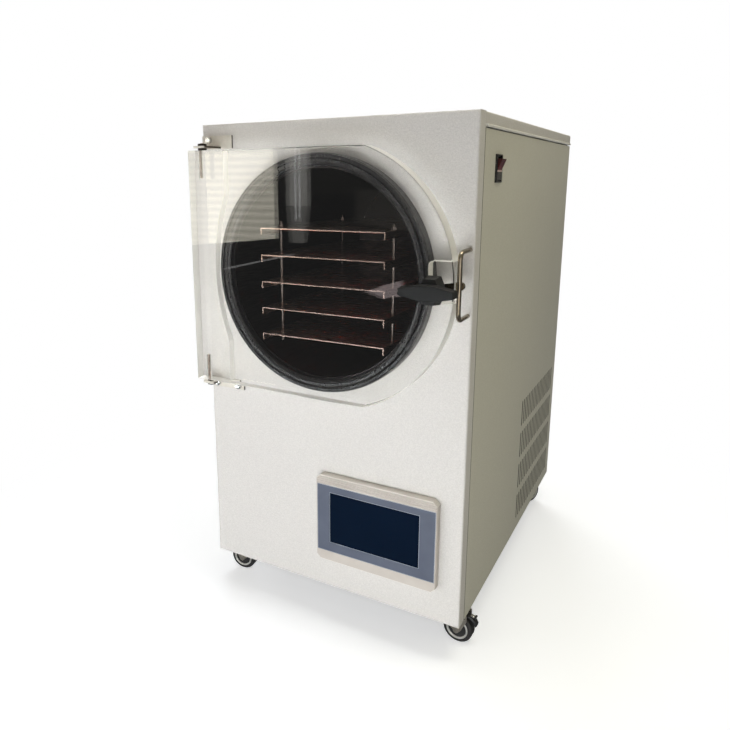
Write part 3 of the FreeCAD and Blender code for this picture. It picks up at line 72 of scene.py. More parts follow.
# What the door mirrors: the room's dark corner, and bright shapes on a plane ahead of the machine.
DARK_CORNER = (-0.5, -0.84, -0.2)
CORNER_EDGE = (0.55, 0.85)      # between these the dark comes in, as a direction nears the corner's
REFLECTOR_Y = -1500.0           # millimetres, as the shapes' corners (x, z) are
BLIND_PITCH = 30                # millimetres from slat to slat
BLIND_GAP = 0.3                 # how much darker it is between slats
WAVE_PERIOD = math.pi / 10      # of Blender's wave texture at scale 1, in metres
# Name, corners, colour, strength.
REFLECTORS = (
    ("blind", ((-1330, 900), (-815, 900), (-815, 426), (-1330, 374)), (1.0, 0.95, 0.80, 1), 3.5),
    ("window", ((-758, 900), (-658, 900), (-658, 560), (-758, 560)), (1.0, 0.98, 0.92, 1), 1.3),
    ("window_low", ((-758, 559), (-658, 559), (-675, 414), (-745, 414)), (1.0, 0.98, 0.92, 1), 0.7),
    ("frame_bar", ((-716, 900), (-706, 900), (-706, 500), (-716, 500)), (1, 1, 1, 1), 4.0),
    ("far_wall", ((-450, 625), (-203, 625), (-203, 471), (-450, 501)), (1.0, 0.96, 0.9, 1), 0.22),
    ("sill", ((-1087, 290), (-738, 368), (-738, 361), (-1087, 281)), (1, 1, 1, 1), 1.1),
    (
        "lamp_smear",
        ((-400, 236), (-330, 268), (-253, 290), (-245, 232), (-330, 216)),
        (1.0, 0.84, 0.84, 1),
        1.6,
    ),
    ("left_wall", ((-2600, 900), (-1800, 900), (-1800, -40), (-2600, -40)), (1, 0.98, 0.95, 1), 1.2),
    ("right_wall", ((450, 1300), (2600, 1300), (2600, -100), (450, -100)), (1, 0.98, 0.93, 1), 1.5),
)

FLOOR_HALF = 30.0
FLOOR_COLOUR = (0.825, 0.85, 0.895, 1)
FLOOR_FADE = (0.42, 0.95)       # from the frame's origin, between which the floor goes over to white
FLOOR_LIFT = 0.5                # what the floor near the machine glows by itself to the camera
FLOOR_MIRRORED = 0.12           # what it glows in reflections

GASKET_FACE = 0.026             # width of the gasket's ridged face

# Sizes of the pieces that only the scene has.
STUD_DEPTH = 0.042              # of a hinge stud, inside the door
STUD_CLEAR = 0.00003            # the thread's crest stays this far inside the plain pin
THREAD_PITCH = 0.00125
THREAD_DEPTH = 0.00065
# Pale lines round the touch panel's blue field and its screen: width, proud of the face, sunk in it.
FIELD_LINE = (0.0011, 0.00012, 0.0003)
SCREEN_LINE = (0.0012, 0.0002, 0.0004)
# The pale ring across a wheel: radius, and distance from the wheel's middle plane.
WHEEL_RING = (
    (0.0148, 0.006), (0.0148, 0.0092), (0.0154, 0.0097), (0.0171, 0.0097), (0.0177, 0.0092), (0.0177, 0.006),
)
BOLT_SPREAD = 0.0185            # from a caster's middle to its bolts, both ways
CASTER_PLATE = 0.0025
BOLT_WASHER = ((0, 0), (0.0052, 0), (0.0052, 0.0006), (0, 0.0006))
BOLT_HEAD = ((0, 0.0006), (0.0042, 0.0006), (0.0042, 0.003), (0.0036, 0.0034), (0, 0.0034))
# The brake lever's side profile from its pin: outward, and up.
LEVER_ARCH = (
    (-0.003, 0.0002), (-0.003, 0.0016), (0.004, 0.0014), (0.011, -0.0005), (0.0162, -0.0045),
    (0.0184, -0.0095), (0.0175, -0.0135), (0.0157, -0.013), (0.0151, -0.0092), (0.0122, -0.0048),
    (0.0055, -0.0014),
)
LEVER_HALF, LEVER_ROUND = 0.005, 0.0006     # half its width, and its edges' rounding
LEVER_PIN = ((0.0015, 0.004), (0.0015, 0.0124), (0.0012, 0.0128), (0, 0.0128))
ROLLER = ((0.0017, 0), (0.0017, 0.0042), (0.0013, 0.0046), (0, 0.0046))
ROLLER_OUT, ROLLER_UP = 0.0148, 0.0014
CLIP = ((0.0062, 0.0008), (0.0072, 0.0036), (0.0137, 0.0024), (0.013, -0.0012))
CLIP_HALF, CLIP_ROUND = 0.0028, 0.0003
SEAM_PROUD, SEAM_SUNK = 0.0001, 0.0004      # out of the side panel's face, and into it
SEAM_HALF, SEAM_FRONT_HALF = 0.0011, 0.0009
LID_GAP = 0.0018                # from the side panel's top to the hem
HEM_RADIUS = 0.002
HEM_STEPS = 12
HEM_FRONT, HEM_BACK = 0.002, 0.0005     # short of the lid's ends
SCREW_HEAD = ((0, 0.002), (0.0012, 0.002), (0.0028, 0.0016), (0.0038, 0.0008), (0.004, 0), (0, 0))
SCREW_ROWS = 4
SCREW_SIDE, SCREW_END = 0.009, 0.04     # in from the rear panel's edges


def at(x, y, z):
    return CORNER + Vector((x, y, z)) / 1000


def srgb(r, g, b):
    out = []
    for c in (r, g, b):
        c = c / 255
        out.append(c / 12.92 if c <= 0.04045 else ((c + 0.055) / 1.055) ** 2.4)
    return (*out, 1.0)


def add_object(name, data):
    o = bpy.data.objects.new(name, data)
    bpy.context.scene.collection.objects.link(o)
    return o


# ---- camera ----
def make_camera():
    yaw, pitch, roll = CAMERA_YAW, CAMERA_PITCH, CAMERA_ROLL
    ahead = Vector((-math.sin(yaw) * math.cos(pitch), math.cos(yaw) * math.cos(pitch), -math.sin(pitch)))
    side = Vector((math.cos(yaw), math.sin(yaw), 0))
    rise = side.cross(ahead)
    right = side * math.cos(roll) + rise * math.sin(roll)
    up = rise * math.cos(roll) - side * math.sin(roll)
    lens = bpy.data.cameras.new("camera")
    lens.sensor_width = SENSOR_WIDTH
    lens.lens = FOCAL_LENGTH
    lens.shift_x, lens.shift_y = CAMERA_SHIFT
    lens.clip_end = 100
    camera = add_object("camera", lens)
    turn = Matrix((right, up, -ahead)).transposed().to_4x4()
    camera.matrix_world = Matrix.Translation(at(*CAMERA_PLACE)) @ turn
    bpy.context.scene.camera = camera


# ---- light ----
def lamp(name, place, target, size, power, colour):
    """A soft rectangle that lights surfaces and shows in satin ones, but is never mirrored as a shape."""
    data = bpy.data.lights.new(name, "AREA")
    data.shape = "RECTANGLE"
    data.size, data.size_y = size
    data.energy = power
    data.color = colour
    data.cycles.use_multiple_importance_sampling = False
    o = add_object(name, data)
    o.location = at(*place)
    o.rotation_mode = "QUATERNION"
    o.rotation_quaternion = (at(*target) - at(*place)).to_track_quat("-Z", "Y")
    o.visible_camera = False


def share(nt, value, low, high, eased=False):
    """0 to 1 as the value goes from low to high."""
    node = nt.nodes.new("ShaderNodeMapRange")
    if eased:
        node.interpolation_type = "SMOOTHSTEP"
    node.inputs["From Min"].default_value = low
    node.inputs["From Max"].default_value = high
    nt.links.new(value, node.inputs["Value"])
    return node.outputs[0]


def make_world():
    """White to the camera, also through clear parts, and a faint warm fill on dull surfaces.

    Reflections show it dimmer, and dimmer still in the corner of the room that the door mirrors.
    """
    world = bpy.data.worlds.new("studio")
    world.use_nodes = True
    nt = world.node_tree
    nt.nodes.clear()
    path = nt.nodes.new("ShaderNodeLightPath")
    fill = backdrop(nt, (1.0, 0.93, 0.72, 1), 0.1)
    dark = backdrop(nt, (1.0, 0.98, 0.96, 1), 0.14)
    bright = backdrop(nt, (1.0, 0.95, 0.76, 1), 0.3)
    white = backdrop(nt, (1, 1, 1, 1), 1.0)
    towards = nt.nodes.new("ShaderNodeVectorMath")
    towards.operation = "DOT_PRODUCT"
    towards.inputs[1].default_value = DARK_CORNER
    nt.links.new(nt.nodes.new("ShaderNodeTexCoord").outputs["Generated"], towards.inputs[0])
    room = mixed(nt, share(nt, towards.outputs["Value"], *CORNER_EDGE, eased=True), bright, dark)
    mirrored = mixed(nt, after_bounce(nt, path, "Glossy Depth"), fill, room)
    out = nt.nodes.new("ShaderNodeOutputWorld")
    nt.links.new(mixed(nt, straight(nt, path), mirrored, white), out.inputs[0])
    bpy.context.scene.world = world


def after_bounce(nt, path, depth):
    """1 where the ray has bounced off a surface in that way."""
    node = nt.nodes.new("ShaderNodeMath")
    node.operation = "GREATER_THAN"
    node.inputs[1].default_value = 0.5
    nt.links.new(path.outputs[depth], node.inputs[0])
    return node.outputs[0]


def straight(nt, path):
    """1 where the ray comes from the camera, also through clear parts, without a bounce."""
    bounced = nt.nodes.new("ShaderNodeMath")
    bounced.operation = "MAXIMUM"
    nt.links.new(after_bounce(nt, path, "Glossy Depth"), bounced.inputs[0])
    nt.links.new(after_bounce(nt, path, "Diffuse Depth"), bounced.inputs[1])
    node = nt.nodes.new("ShaderNodeMath")
    node.operation = "SUBTRACT"
    node.inputs[0].default_value = 1.0
    nt.links.new(bounced.outputs[0], node.inputs[1])
    return node.outputs[0]


def backdrop(nt, colour, strength):
    node = nt.nodes.new("ShaderNodeBackground")
    node.inputs["Color"].default_value = colour
    node.inputs["Strength"].default_value = strength
    return node.outputs[0]


def glowing(nt, colour, strength):
    node = nt.nodes.new("ShaderNodeEmission")
    node.inputs["Color"].default_value = colour
    node.inputs["Strength"].default_value = strength
    return node


def mixed(nt, fac, first, second):
    node = nt.nodes.new("ShaderNodeMixShader")
    nt.links.new(fac, node.inputs[0])
    nt.links.new(first, node.inputs[1])
    nt.links.new(second, node.inputs[2])
    return node.outputs[0]


def add_slats(nt, glow, strength):
    """Dark lines between the slats of the blind."""
    wave = nt.nodes.new("ShaderNodeTexWave")
    wave.bands_direction = "Z"
    wave.inputs["Scale"].default_value = WAVE_PERIOD * 1000 / BLIND_PITCH
    coords = nt.nodes.new("ShaderNodeTexCoord")
    nt.links.new(coords.outputs["Object"], wave.inputs["Vector"])
    bands = nt.nodes.new("ShaderNodeMapRange")
    bands.inputs["To Min"].default_value = strength * (1 - BLIND_GAP)
    bands.inputs["To Max"].default_value = strength
    nt.links.new(wave.outputs["Fac"], bands.inputs["Value"])
    nt.links.new(bands.outputs[0], glow.inputs["Strength"])


def reflector(name, corners, colour, strength):
    """A bright shape of the room, seen only in reflections."""
    mesh = bpy.data.meshes.new(name)
    mesh.from_pydata([at(x, REFLECTOR_Y, z) for x, z in corners], [], [tuple(range(len(corners)))])
    o = add_object(name, mesh)
    mat = bpy.data.materials.new(name)
    mat.use_nodes = True
    nt = mat.node_tree
    nt.nodes.clear()
    glow = glowing(nt, colour, strength)
    if name == "blind":
        add_slats(nt, glow, strength)
    path = nt.nodes.new("ShaderNodeLightPath")
    unseen = nt.nodes.new("ShaderNodeBsdfTransparent").outputs[0]
    out = nt.nodes.new("ShaderNodeOutputMaterial")
    nt.links.new(mixed(nt, after_bounce(nt, path, "Glossy Depth"), unseen, glow.outputs[0]), out.inputs[0])
    mesh.materials.append(mat)
    o.visible_camera = False
    o.visible_diffuse = False
    o.visible_volume_scatter = False
    o.visible_shadow = False


# ---- materials ----
class Look:
    """A Principled material with the few pattern nodes that the finishes share."""

    def __init__(self, name, colour, roughness, **values):
        self.mat = bpy.data.materials.new(name)
        self.mat.use_nodes = True
        self.nt = self.mat.node_tree
        self.shader = self.nt.nodes["Principled BSDF"]
        self.set("Base Color", colour)
        self.set("Roughness", roughness)
        for key, value in values.items():
            self.set(key.replace("_", " "), value)
        self.coords = self.nt.nodes.new("ShaderNodeTexCoord").outputs["Object"]

    def set(self, socket, value):
        self.shader.inputs[socket].default_value = value

    def link(self, output, socket):
        self.nt.links.new(output, self.shader.inputs[socket])

    def noise(self, scale, detail=2.0, rough=0.5, stretch=None):
        node = self.nt.nodes.new("ShaderNodeTexNoise")
        node.inputs["Scale"].default_value = scale
        node.inputs["Detail"].default_value = detail
        node.inputs["Roughness"].default_value = rough
        source = self.coords
        if stretch:
            mapping = self.nt.nodes.new("ShaderNodeMapping")
            mapping.inputs["Scale"].default_value = stretch
            self.nt.links.new(self.coords, mapping.inputs["Vector"])
            source = mapping.outputs[0]
        self.nt.links.new(source, node.inputs["Vector"])
        return node.outputs["Fac"]

    def ramp(self, fac, stops, ease=False):
        node = self.nt.nodes.new("ShaderNodeValToRGB")
        band = node.color_ramp
        if ease:
            band.interpolation = "EASE"
        while len(band.elements) < len(stops):
            band.elements.new(0.5)
        for e, (place, colour) in zip(band.elements, stops):
            e.position = place
            e.color = colour
        self.nt.links.new(fac, node.inputs[0])
        return node.outputs[0]

    def spots(self, fac, dark, light):
        """A colour that wanders between two shades."""
        return self.ramp(fac, [(0.3, dark), (0.7, light)])

    def blend(self, fac, dark, light):
        self.link(self.spots(fac, dark, light), "Base Color")

    def span(self, fac, low, high):
        """0 to 1 spread over low to high."""
        node = self.nt.nodes.new("ShaderNodeMapRange")
        node.inputs["To Min"].default_value = low
        node.inputs["To Max"].default_value = high
        self.nt.links.new(fac, node.inputs["Value"])
        return node.outputs[0]

    def bump(self, height, distance, strength=1.0, rounding=0.0):
        node = self.nt.nodes.new("ShaderNodeBump")
        node.inputs["Distance"].default_value = distance
        node.inputs["Strength"].default_value = strength
        self.nt.links.new(height, node.inputs["Height"])
        if rounding:
            edge = self.nt.nodes.new("ShaderNodeBevel")
            edge.samples = 4
            edge.inputs["Radius"].default_value = rounding
            self.nt.links.new(edge.outputs[0], node.inputs["Normal"])
        self.link(node.outputs[0], "Normal")

    def facing(self, axis, low, high):
        """0 to 1 as a face turns along the object's axis, either way."""
        parts = self.nt.nodes.new("ShaderNodeSeparateXYZ")
        self.nt.links.new(self.nt.nodes.new("ShaderNodeTexCoord").outputs["Normal"], parts.inputs[0])
        along = self.nt.nodes.new("ShaderNodeMath")
        along.operation = "ABSOLUTE"
        self.nt.links.new(parts.outputs[axis], along.inputs[0])
        return share(self.nt, along.outputs[0], low, high)

    def choose(self, fac, first, second):
        node = self.nt.nodes.new("ShaderNodeMix")
        node.data_type = "RGBA"
        self.nt.links.new(fac, node.inputs["Factor"])
        for socket, colour in ((node.inputs[6], first), (node.inputs[7], second)):
            self.nt.links.new(colour, socket)
        return node.outputs[2]

    def lets_lamps_through(self, tint):
        clear = self.nt.nodes.new("ShaderNodeBsdfTransparent")
        self.nt.links.new(tint, clear.inputs["Color"])
        path = self.nt.nodes.new("ShaderNodeLightPath")
        shown = mixed(self.nt, path.outputs["Is Shadow Ray"], self.shader.outputs[0], clear.outputs[0])
        self.nt.links.new(shown, self.nt.nodes["Material Output"].inputs[0])


def powder_coat(name="powder_coat", painted_shade_axis=None):
    """Off-white orange-peel paint; on the side panels a more olive copy, a painted tint of the room's light.

    The second argument is the axis along which cut faces, such as slot walls, get painted deep shade.
    """
    # The more olive copy for the side panels is painted light: the tint that the room's light gives them.
    r, g, b = (209, 207, 195) if painted_shade_axis == "Y" else (215, 212, 209)
    m = Look(name, srgb(r, g, b), 0.46)
    grain = m.noise(420, 3, 0.6)
    speckle = m.noise(700, 2, 0.5)
    shades = [(0.5 + 0.2 * step, srgb(r + 7 * step, g + 7 * step, b + 7 * step)) for step in (-1, 0, 1)]
    paint = m.ramp(speckle, shades)
    if painted_shade_axis:
        # Painted deep shade, dark olive, on the slot walls and other cut faces along that axis.
        dark = m.spots(speckle, srgb(58, 54, 42), srgb(70, 66, 52))
        paint = m.choose(m.facing(painted_shade_axis, 0.5, 0.8), paint, dark)
    m.link(paint, "Base Color")
    m.link(m.span(grain, 0.28, 0.48), "Roughness")
    m.bump(grain, 0.0011, 0.7, 0.0008)
    return m.mat


def zinc():
    m = Look("zinc", srgb(150, 152, 156), 0.38, Metallic=1.0)
    m.blend(m.noise(60, 4, 0.6), srgb(138, 140, 146), srgb(170, 172, 172))
    m.link(m.span(m.noise(200, 3), 0.3, 0.5), "Roughness")
    m.bump(m.noise(400, 2), 0.0001, 0.4, 0.0004)
    return m.mat


def hinge_plate():
    """Pale plate whose cut ends, facing left and right, are painted dark as shade."""
    m = Look("hinge_plate", srgb(214, 208, 198), 0.38)
    patches = m.noise(90, 4, 0.6)
    plate = m.spots(patches, srgb(208, 203, 193), srgb(222, 217, 208))
    # Painted shade: the end faces are dark where the plate's edge lies in shade and mirrors the dark room.
    ends = m.spots(patches, srgb(48, 40, 34), srgb(70, 62, 54))
    m.link(m.choose(m.facing("X", 0.6, 0.8), plate, ends), "Base Color")
    m.link(m.span(m.noise(200, 3), 0.36, 0.52), "Roughness")
    m.bump(m.noise(400, 2), 0.0001, 0.4, 0.0004)
    return m.mat


def rocker_cap():
    """Dark red cap, painted black below the middle as shade, with a painted highlight as a pale line between.
    """
    m = Look("rocker_cap", srgb(60, 12, 14), 0.2, Specular_IOR_Level=0.25)
    low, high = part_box("switch_rocker")
    height = m.nt.nodes.new("ShaderNodeSeparateXYZ")
    m.nt.links.new(m.coords, height.inputs[0])
    # Painted shade makes the cap black below the middle, and the pale band is a painted highlight along its
    # edge.
    painted_shade_black = srgb(20, 16, 16)
    pale = srgb(214, 186, 184)
    bands = [(0.0, painted_shade_black), (0.38, painted_shade_black), (0.4, pale), (0.45, pale)]
    bands += [(0.47, srgb(66, 13, 15)), (1.0, srgb(50, 10, 12))]
    m.link(m.ramp(share(m.nt, height.outputs["Z"], low.z, high.z), bands), "Base Color")
    m.link(m.span(m.noise(300, 2), 0.16, 0.28), "Roughness")
    m.bump(m.noise(500, 2), 0.00005, 0.4, 0.0005)
    return m.mat


def brushed(name, dark, light, low, high, stretch):
    m = Look(name, light, low, Metallic=1.0)
    lines = m.noise(1.0, 4, 0.6, stretch)
    m.blend(lines, dark, light)
    m.link(m.span(lines, low, high), "Roughness")
    m.bump(lines, 0.00006, 0.5)
    return m.mat


def chamber_steel_painted_shade():
    # Stainless steel in a very dark colour: painted shade for the dim inside of the chamber.
    m = Look("chamber_steel_painted_shade", srgb(50, 48, 48), 0.3, Metallic=1.0)
    lines = m.noise(1.0, 4, 0.6, (600, 30, 600))
    m.blend(lines, srgb(40, 38, 39), srgb(64, 60, 60))
    m.link(m.span(lines, 0.26, 0.42), "Roughness")
    m.bump(lines, 0.0001, 0.5)
    return m.mat


def acrylic():
    """Clear sheet with polished faces and satin sawn edges, told apart by the way a face points."""
    clear = (1.0, 1.0, 0.995, 1)
    m = Look("acrylic", clear, 0.0, Transmission_Weight=1.0, IOR=1.49)
    edge = m.facing("Y", 0.6, 0.25)
    m.link(m.ramp(edge, [(0.0, clear), (1.0, (0.99, 0.98, 0.94, 1))]), "Base Color")
    m.link(m.span(edge, 0.0, 0.42), "Roughness")
    m.link(m.span(edge, 1.0, 0.3), "Transmission Weight")
    m.bump(m.noise(14, 2), 0.0004, 0.05)
    m.lets_lamps_through(m.ramp(edge, [(0.0, (0.8, 0.8, 0.79, 1)), (1.0, (0.8, 0.8, 0.78, 1))]))
    return m.mat


def gasket_rubber():
    """Black rubber whose face has two rounded ridges round the chamber's mouth."""
    m = Look("gasket_rubber", srgb(16, 16, 18), 0.24)
    low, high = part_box("door_gasket")
    flat = m.nt.nodes.new("ShaderNodeMapping")
    flat.inputs["Location"].default_value = (-(low.x + high.x) / 2, 0, -(low.z + high.z) / 2)
    flat.inputs["Scale"].default_value = (1, 0, 1)
    m.nt.links.new(m.coords, flat.inputs["Vector"])
    radius = m.nt.nodes.new("ShaderNodeVectorMath")
    radius.operation = "LENGTH"
    m.nt.links.new(flat.outputs[0], radius.inputs[0])
    outer = (high.x - low.x) / 2
    hollow, crest = (0, 0, 0, 1), (1, 1, 1, 1)
    profile = [(0.0, hollow), (0.2, crest), (0.34, crest), (0.5, hollow)]
    profile += [(0.6, hollow), (0.76, crest), (0.86, crest), (1.0, hollow)]
    ridges = m.ramp(share(m.nt, radius.outputs["Value"], outer - GASKET_FACE, outer), profile, ease=True)
    m.blend(m.noise(260, 3, 0.6), srgb(11, 11, 13), srgb(18, 18, 21))
    m.link(m.span(m.noise(420, 3), 0.25, 0.31), "Roughness")
    m.bump(ridges, 0.003, 0.6)
    return m.mat


def tyre_rubber():
    m = Look("tyre_rubber", srgb(22, 22, 24), 0.6)
    m.blend(m.noise(80, 4, 0.6), srgb(16, 16, 18), srgb(40, 39, 38))
    m.link(m.span(m.noise(160, 3), 0.5, 0.75), "Roughness")
    m.bump(m.noise(700, 3), 0.00015, 0.6)
    return m.mat


def moulded(name, dark, light, low, high, grain=900, depth=0.0001, **values):
    m = Look(name, light, low, **values)
    m.blend(m.noise(30, 3), dark, light)
    texture = m.noise(grain, 2)
    m.link(m.span(texture, low, high), "Roughness")
    m.bump(texture, depth, 0.5, 0.0005)
    return m.mat


def panel_frame():
    """Cream plastic, with painted light making the bevels above and below the face paler."""
    m = Look("panel_frame", srgb(195, 187, 180), 0.36)
    patches = m.noise(30, 3)
    face = m.spots(patches, srgb(190, 182, 175), srgb(200, 193, 186))
    # Painted light: the bevels facing up and down are paler than the face.
    bevel = m.spots(patches, srgb(236, 230, 221), srgb(243, 238, 230))
    m.link(m.choose(m.facing("Z", 0.3, 0.6), face, bevel), "Base Color")
    texture = m.noise(900, 2)
    m.link(m.span(texture, 0.3, 0.42), "Roughness")
    m.bump(texture, 0.0001, 0.5, 0.0005)
    return m.mat


def heater_mat():
    m = Look("heater_mat", srgb(120, 44, 34), 0.55)
    weave = m.nt.nodes.new("ShaderNodeTexWave")
    weave.inputs["Scale"].default_value = 180
    m.nt.links.new(m.coords, weave.inputs["Vector"])
    m.blend(m.noise(20, 3), srgb(96, 33, 27), srgb(134, 52, 40))
    m.link(m.span(m.noise(90, 2), 0.45, 0.65), "Roughness")
    m.bump(weave.outputs["Fac"], 0.0002, 0.4)
    return m.mat


def screen_glass():
    m = Look("screen_glass", srgb(3, 15, 31), 0.14, Specular_IOR_Level=0.2)
    m.blend(m.noise(4, 2), srgb(2, 12, 27), srgb(5, 19, 37))
    m.link(m.span(m.noise(50, 2), 0.1, 0.18), "Roughness")
    return m.mat


def foam():
    m = Look("foam", srgb(40, 40, 42), 0.9)
    cells = m.noise(300, 4, 0.7)
    m.blend(cells, srgb(26, 26, 28), srgb(56, 56, 58))
    m.bump(cells, 0.0006, 0.8)
    return m.mat


def fins():
    m = Look("fins", srgb(170, 172, 174), 0.35, Metallic=1.0)
    lines = m.noise(1.0, 1, 0.5, (1, 1, 700))
    m.blend(lines, srgb(60, 62, 64), srgb(190, 192, 194))
    m.link(m.span(lines, 0.3, 0.5), "Roughness")
    m.bump(lines, 0.0008, 1.0)
    return m.mat


def brass():
    m = Look("brass", srgb(186, 160, 104), 0.3, Metallic=1.0)
    m.blend(m.noise(60, 3), srgb(170, 142, 88), srgb(204, 178, 120))
    m.link(m.span(m.noise(140, 3), 0.22, 0.4), "Roughness")
    m.bump(m.noise(500, 2), 0.0001, 0.4, 0.0004)
    return m.mat


# Name, darker and lighter shade, least and greatest roughness, how fine the grain is along x, y and z.
METALS = (
    # Shelves: stainless steel, tinted pink by a painted warm reflection.
    ("shelf_steel", (196, 168, 156), (232, 206, 192), 0.2, 0.34, (20, 700, 700)),
    # Dark steel, as on the keeper: polished steel whose brown tint is a painted reflection of the room.
    ("dark_steel", (124, 114, 98), (162, 151, 134), 0.12, 0.22, (900, 900, 60)),
    ("bright_zinc", (180, 180, 180), (226, 226, 224), 0.18, 0.3, (300, 300, 300)),
    ("black_nut", (34, 32, 30), (62, 58, 54), 0.3, 0.45, (300, 300, 300)),
    ("rod_steel", (92, 85, 82), (136, 127, 123), 0.3, 0.45, (300, 300, 300)),
    ("fork_steel", (170, 164, 152), (206, 200, 188), 0.28, 0.42, (200, 200, 200)),
    ("stud_steel", (150, 138, 130), (198, 186, 178), 0.35, 0.5, (400, 400, 400)),
    ("wheel_ring", (214, 213, 208), (238, 237, 232), 0.4, 0.55, (200, 200, 200)),
)

# Name, darker and lighter shade, least and greatest roughness.
PLASTICS = (
    ("panel_cream", (190, 182, 175), (200, 193, 186), 0.3, 0.42),
    ("panel_blue", (81, 88, 105), (90, 97, 114), 0.36, 0.5),
    ("panel_line", (150, 158, 170), (168, 175, 186), 0.35, 0.5),
    ("switch_red", (70, 8, 8), (96, 14, 12), 0.16, 0.28),
    ("fan_plastic", (22, 22, 24), (32, 32, 34), 0.4, 0.55),
    ("lever_red", (150, 26, 22), (172, 36, 30), 0.3, 0.45),
    ("pedal_plastic", (20, 20, 22), (30, 30, 32), 0.4, 0.55),
    # The seam strip's dark colour is painted shade in the gap.
    ("seam_shade", (92, 86, 70), (106, 100, 84), 0.6, 0.8),
    # The hem's paint is paler than the cabinet's: a painted highlight along the lid's edge.
    ("hem_paint_painted_highlight", (230, 228, 222), (240, 238, 233), 0.25, 0.35),
)


def finishes():
    knob = (srgb(9, 10, 11), srgb(15, 17, 18), 0.45, 0.6)
    switch = (srgb(12, 12, 13), srgb(20, 20, 21), 0.28, 0.42)
    cast_iron = (srgb(18, 18, 20), srgb(30, 30, 33), 0.3, 0.5, 300, 0.0003)
    looks = {
        "cabinet_paint": powder_coat(),
        "side_paint_painted_light": powder_coat("side_paint_painted_light", "Y"),
        "rear_paint_painted_shade": powder_coat("rear_paint_painted_shade", "X"),
        "hinge_plate": hinge_plate(),
        "zinc_steel": zinc(),
        "stainless": chamber_steel_painted_shade(),
        "clear_acrylic": acrylic(),
        "gasket_rubber": gasket_rubber(),
        "knob_plastic": moulded("knob_plastic", *knob, Specular_IOR_Level=0.3),
        "heater_silicone": heater_mat(),
        "foam": foam(),
        "panel_frame": panel_frame(),
        "screen_glass": screen_glass(),
        "switch_black": moulded("switch_black", *switch, Specular_IOR_Level=0.3),
        "rocker_cap": rocker_cap(),
        "compressor_black": moulded("compressor_black", *cast_iron),
        "fin_aluminium": fins(),
        "valve_brass": brass(),
        "caster_rubber": tyre_rubber(),
    }
    for name, dark, light, low, high, stretch in METALS:
        looks[name] = brushed(name, srgb(*dark), srgb(*light), low, high, stretch)
    for name, dark, light, low, high in PLASTICS:
        looks[name] = moulded(name, srgb(*dark), srgb(*light), low, high)
    return looks


# Nodes whose finish isn't the one of their packed material's name.
OWN_LOOKS = {
    "hinge_nuts": "black_nut",
    "hinge_bracket_top": "hinge_plate",
    "hinge_bracket_bottom": "hinge_plate",
    "keeper_handle": "dark_steel",
    "rack_rods": "rod_steel",
    "rack_nuts": "rod_steel",
    "left_side_panel": "side_paint_painted_light",
    "right_side_panel": "side_paint_painted_light",
    "rear_panel": "rear_paint_painted_shade",
    "switch_rocker": "rocker_cap",
    "touch_panel_frame": "panel_frame",
}
OWN_LOOKS.update({"caster_fork_" + corner: "fork_steel" for corner in CORNERS})


def dress_nodes(looks):
    """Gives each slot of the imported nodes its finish."""
    for o in NODES.values():
        for place in o.material_slots:
            packed = place.material.name.split(".")[0] if place.material else ""
            place.material = looks[OWN_LOOKS.get(o.name, packed)]


# ---- pieces ----
def lathe(bm, centre, axis, profile, steps=48, closed=False):
    """Turns (radius, length) pairs about an axis; six steps make a hexagon."""
    axis = axis.normalized()
    side = axis.orthogonal().normalized()
    other = axis.cross(side)
    rings = []
    for radius, along in profile:
        middle = centre + axis * along
        if radius == 0:
            rings.append([bm.verts.new(middle)])
            continue
        ring = []
        for k in range(steps):
            t = 2 * math.pi * k / steps
            ring.append(bm.verts.new(middle + (side * math.cos(t) + other * math.sin(t)) * radius))
        rings.append(ring)
    if closed:
        rings.append(rings[0])
    for p, q in zip(rings, rings[1:]):
        for k in range(steps):
            n = (k + 1) % steps
            corners = [p[k % len(p)], p[n % len(p)], q[n % len(q)], q[k % len(q)]]
            kept = [v for i, v in enumerate(corners) if v not in corners[:i]]
            if len(kept) > 2:
                bm.faces.new(kept)


def bridge(bm, first, second):
    """Faces between two closed rings of as many points."""
    for k in range(len(first)):
        n = (k + 1) % len(first)
        bm.faces.new((first[k], first[n], second[n], second[k]))


def make_piece(name, bm, look, body, angle=35):
    bmesh.ops.recalc_face_normals(bm, faces=bm.faces)
    mesh = bpy.data.meshes.new(name)
    bm.to_mesh(mesh)
    bm.free()
    mesh.shade_smooth()
    mesh.set_sharp_from_angle(angle=math.radians(angle))
    mesh.materials.append(look)
    o = add_object(name, mesh)
    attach(o, body)
    return o


def thread(bm, foot, length, crest, root, pitch, steps=24):
    """A screw thread round a plain core, up from foot."""
    flank = ((root, 0), (crest, 0.44), (crest, 0.56), (root, 1))
    rows = []
    for i in range(int((length - pitch) / pitch * steps) + 1):
        t = 2 * math.pi * i / steps
        out = Vector((math.cos(t), math.sin(t), 0))
        low = foot + UP * (pitch * i / steps)
        rows.append([bm.verts.new(low + out * radius + UP * (pitch * rise)) for radius, rise in flank])
    for a, b in zip(rows, rows[1:]):
        for k in range(3):
            bm.faces.new((a[k], b[k], b[k + 1], a[k + 1]))
    edge = (crest - root) * 0.8
    core = [(0, 0), (root - edge, 0), (root, edge), (root, length - edge), (root - edge, length), (0, length)]
    lathe(bm, foot, UP, core, steps)


def hinge_studs(look):
    low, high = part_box("hinge_pins")
    door_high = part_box("door")[1]
    middle = (low + high) / 2
    length = high.z - door_high.z + STUD_DEPTH
    crest = (high.x - low.x) / 2 - STUD_CLEAR
    bm = bmesh.new()
    for z in (low.z, high.z - length):
        thread(bm, Vector((middle.x, middle.y, z)), length, crest, crest - THREAD_DEPTH, THREAD_PITCH)
    piece = make_piece("hinge_studs", bm, look, "cabinet", 25)
    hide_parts("hinge_pins")


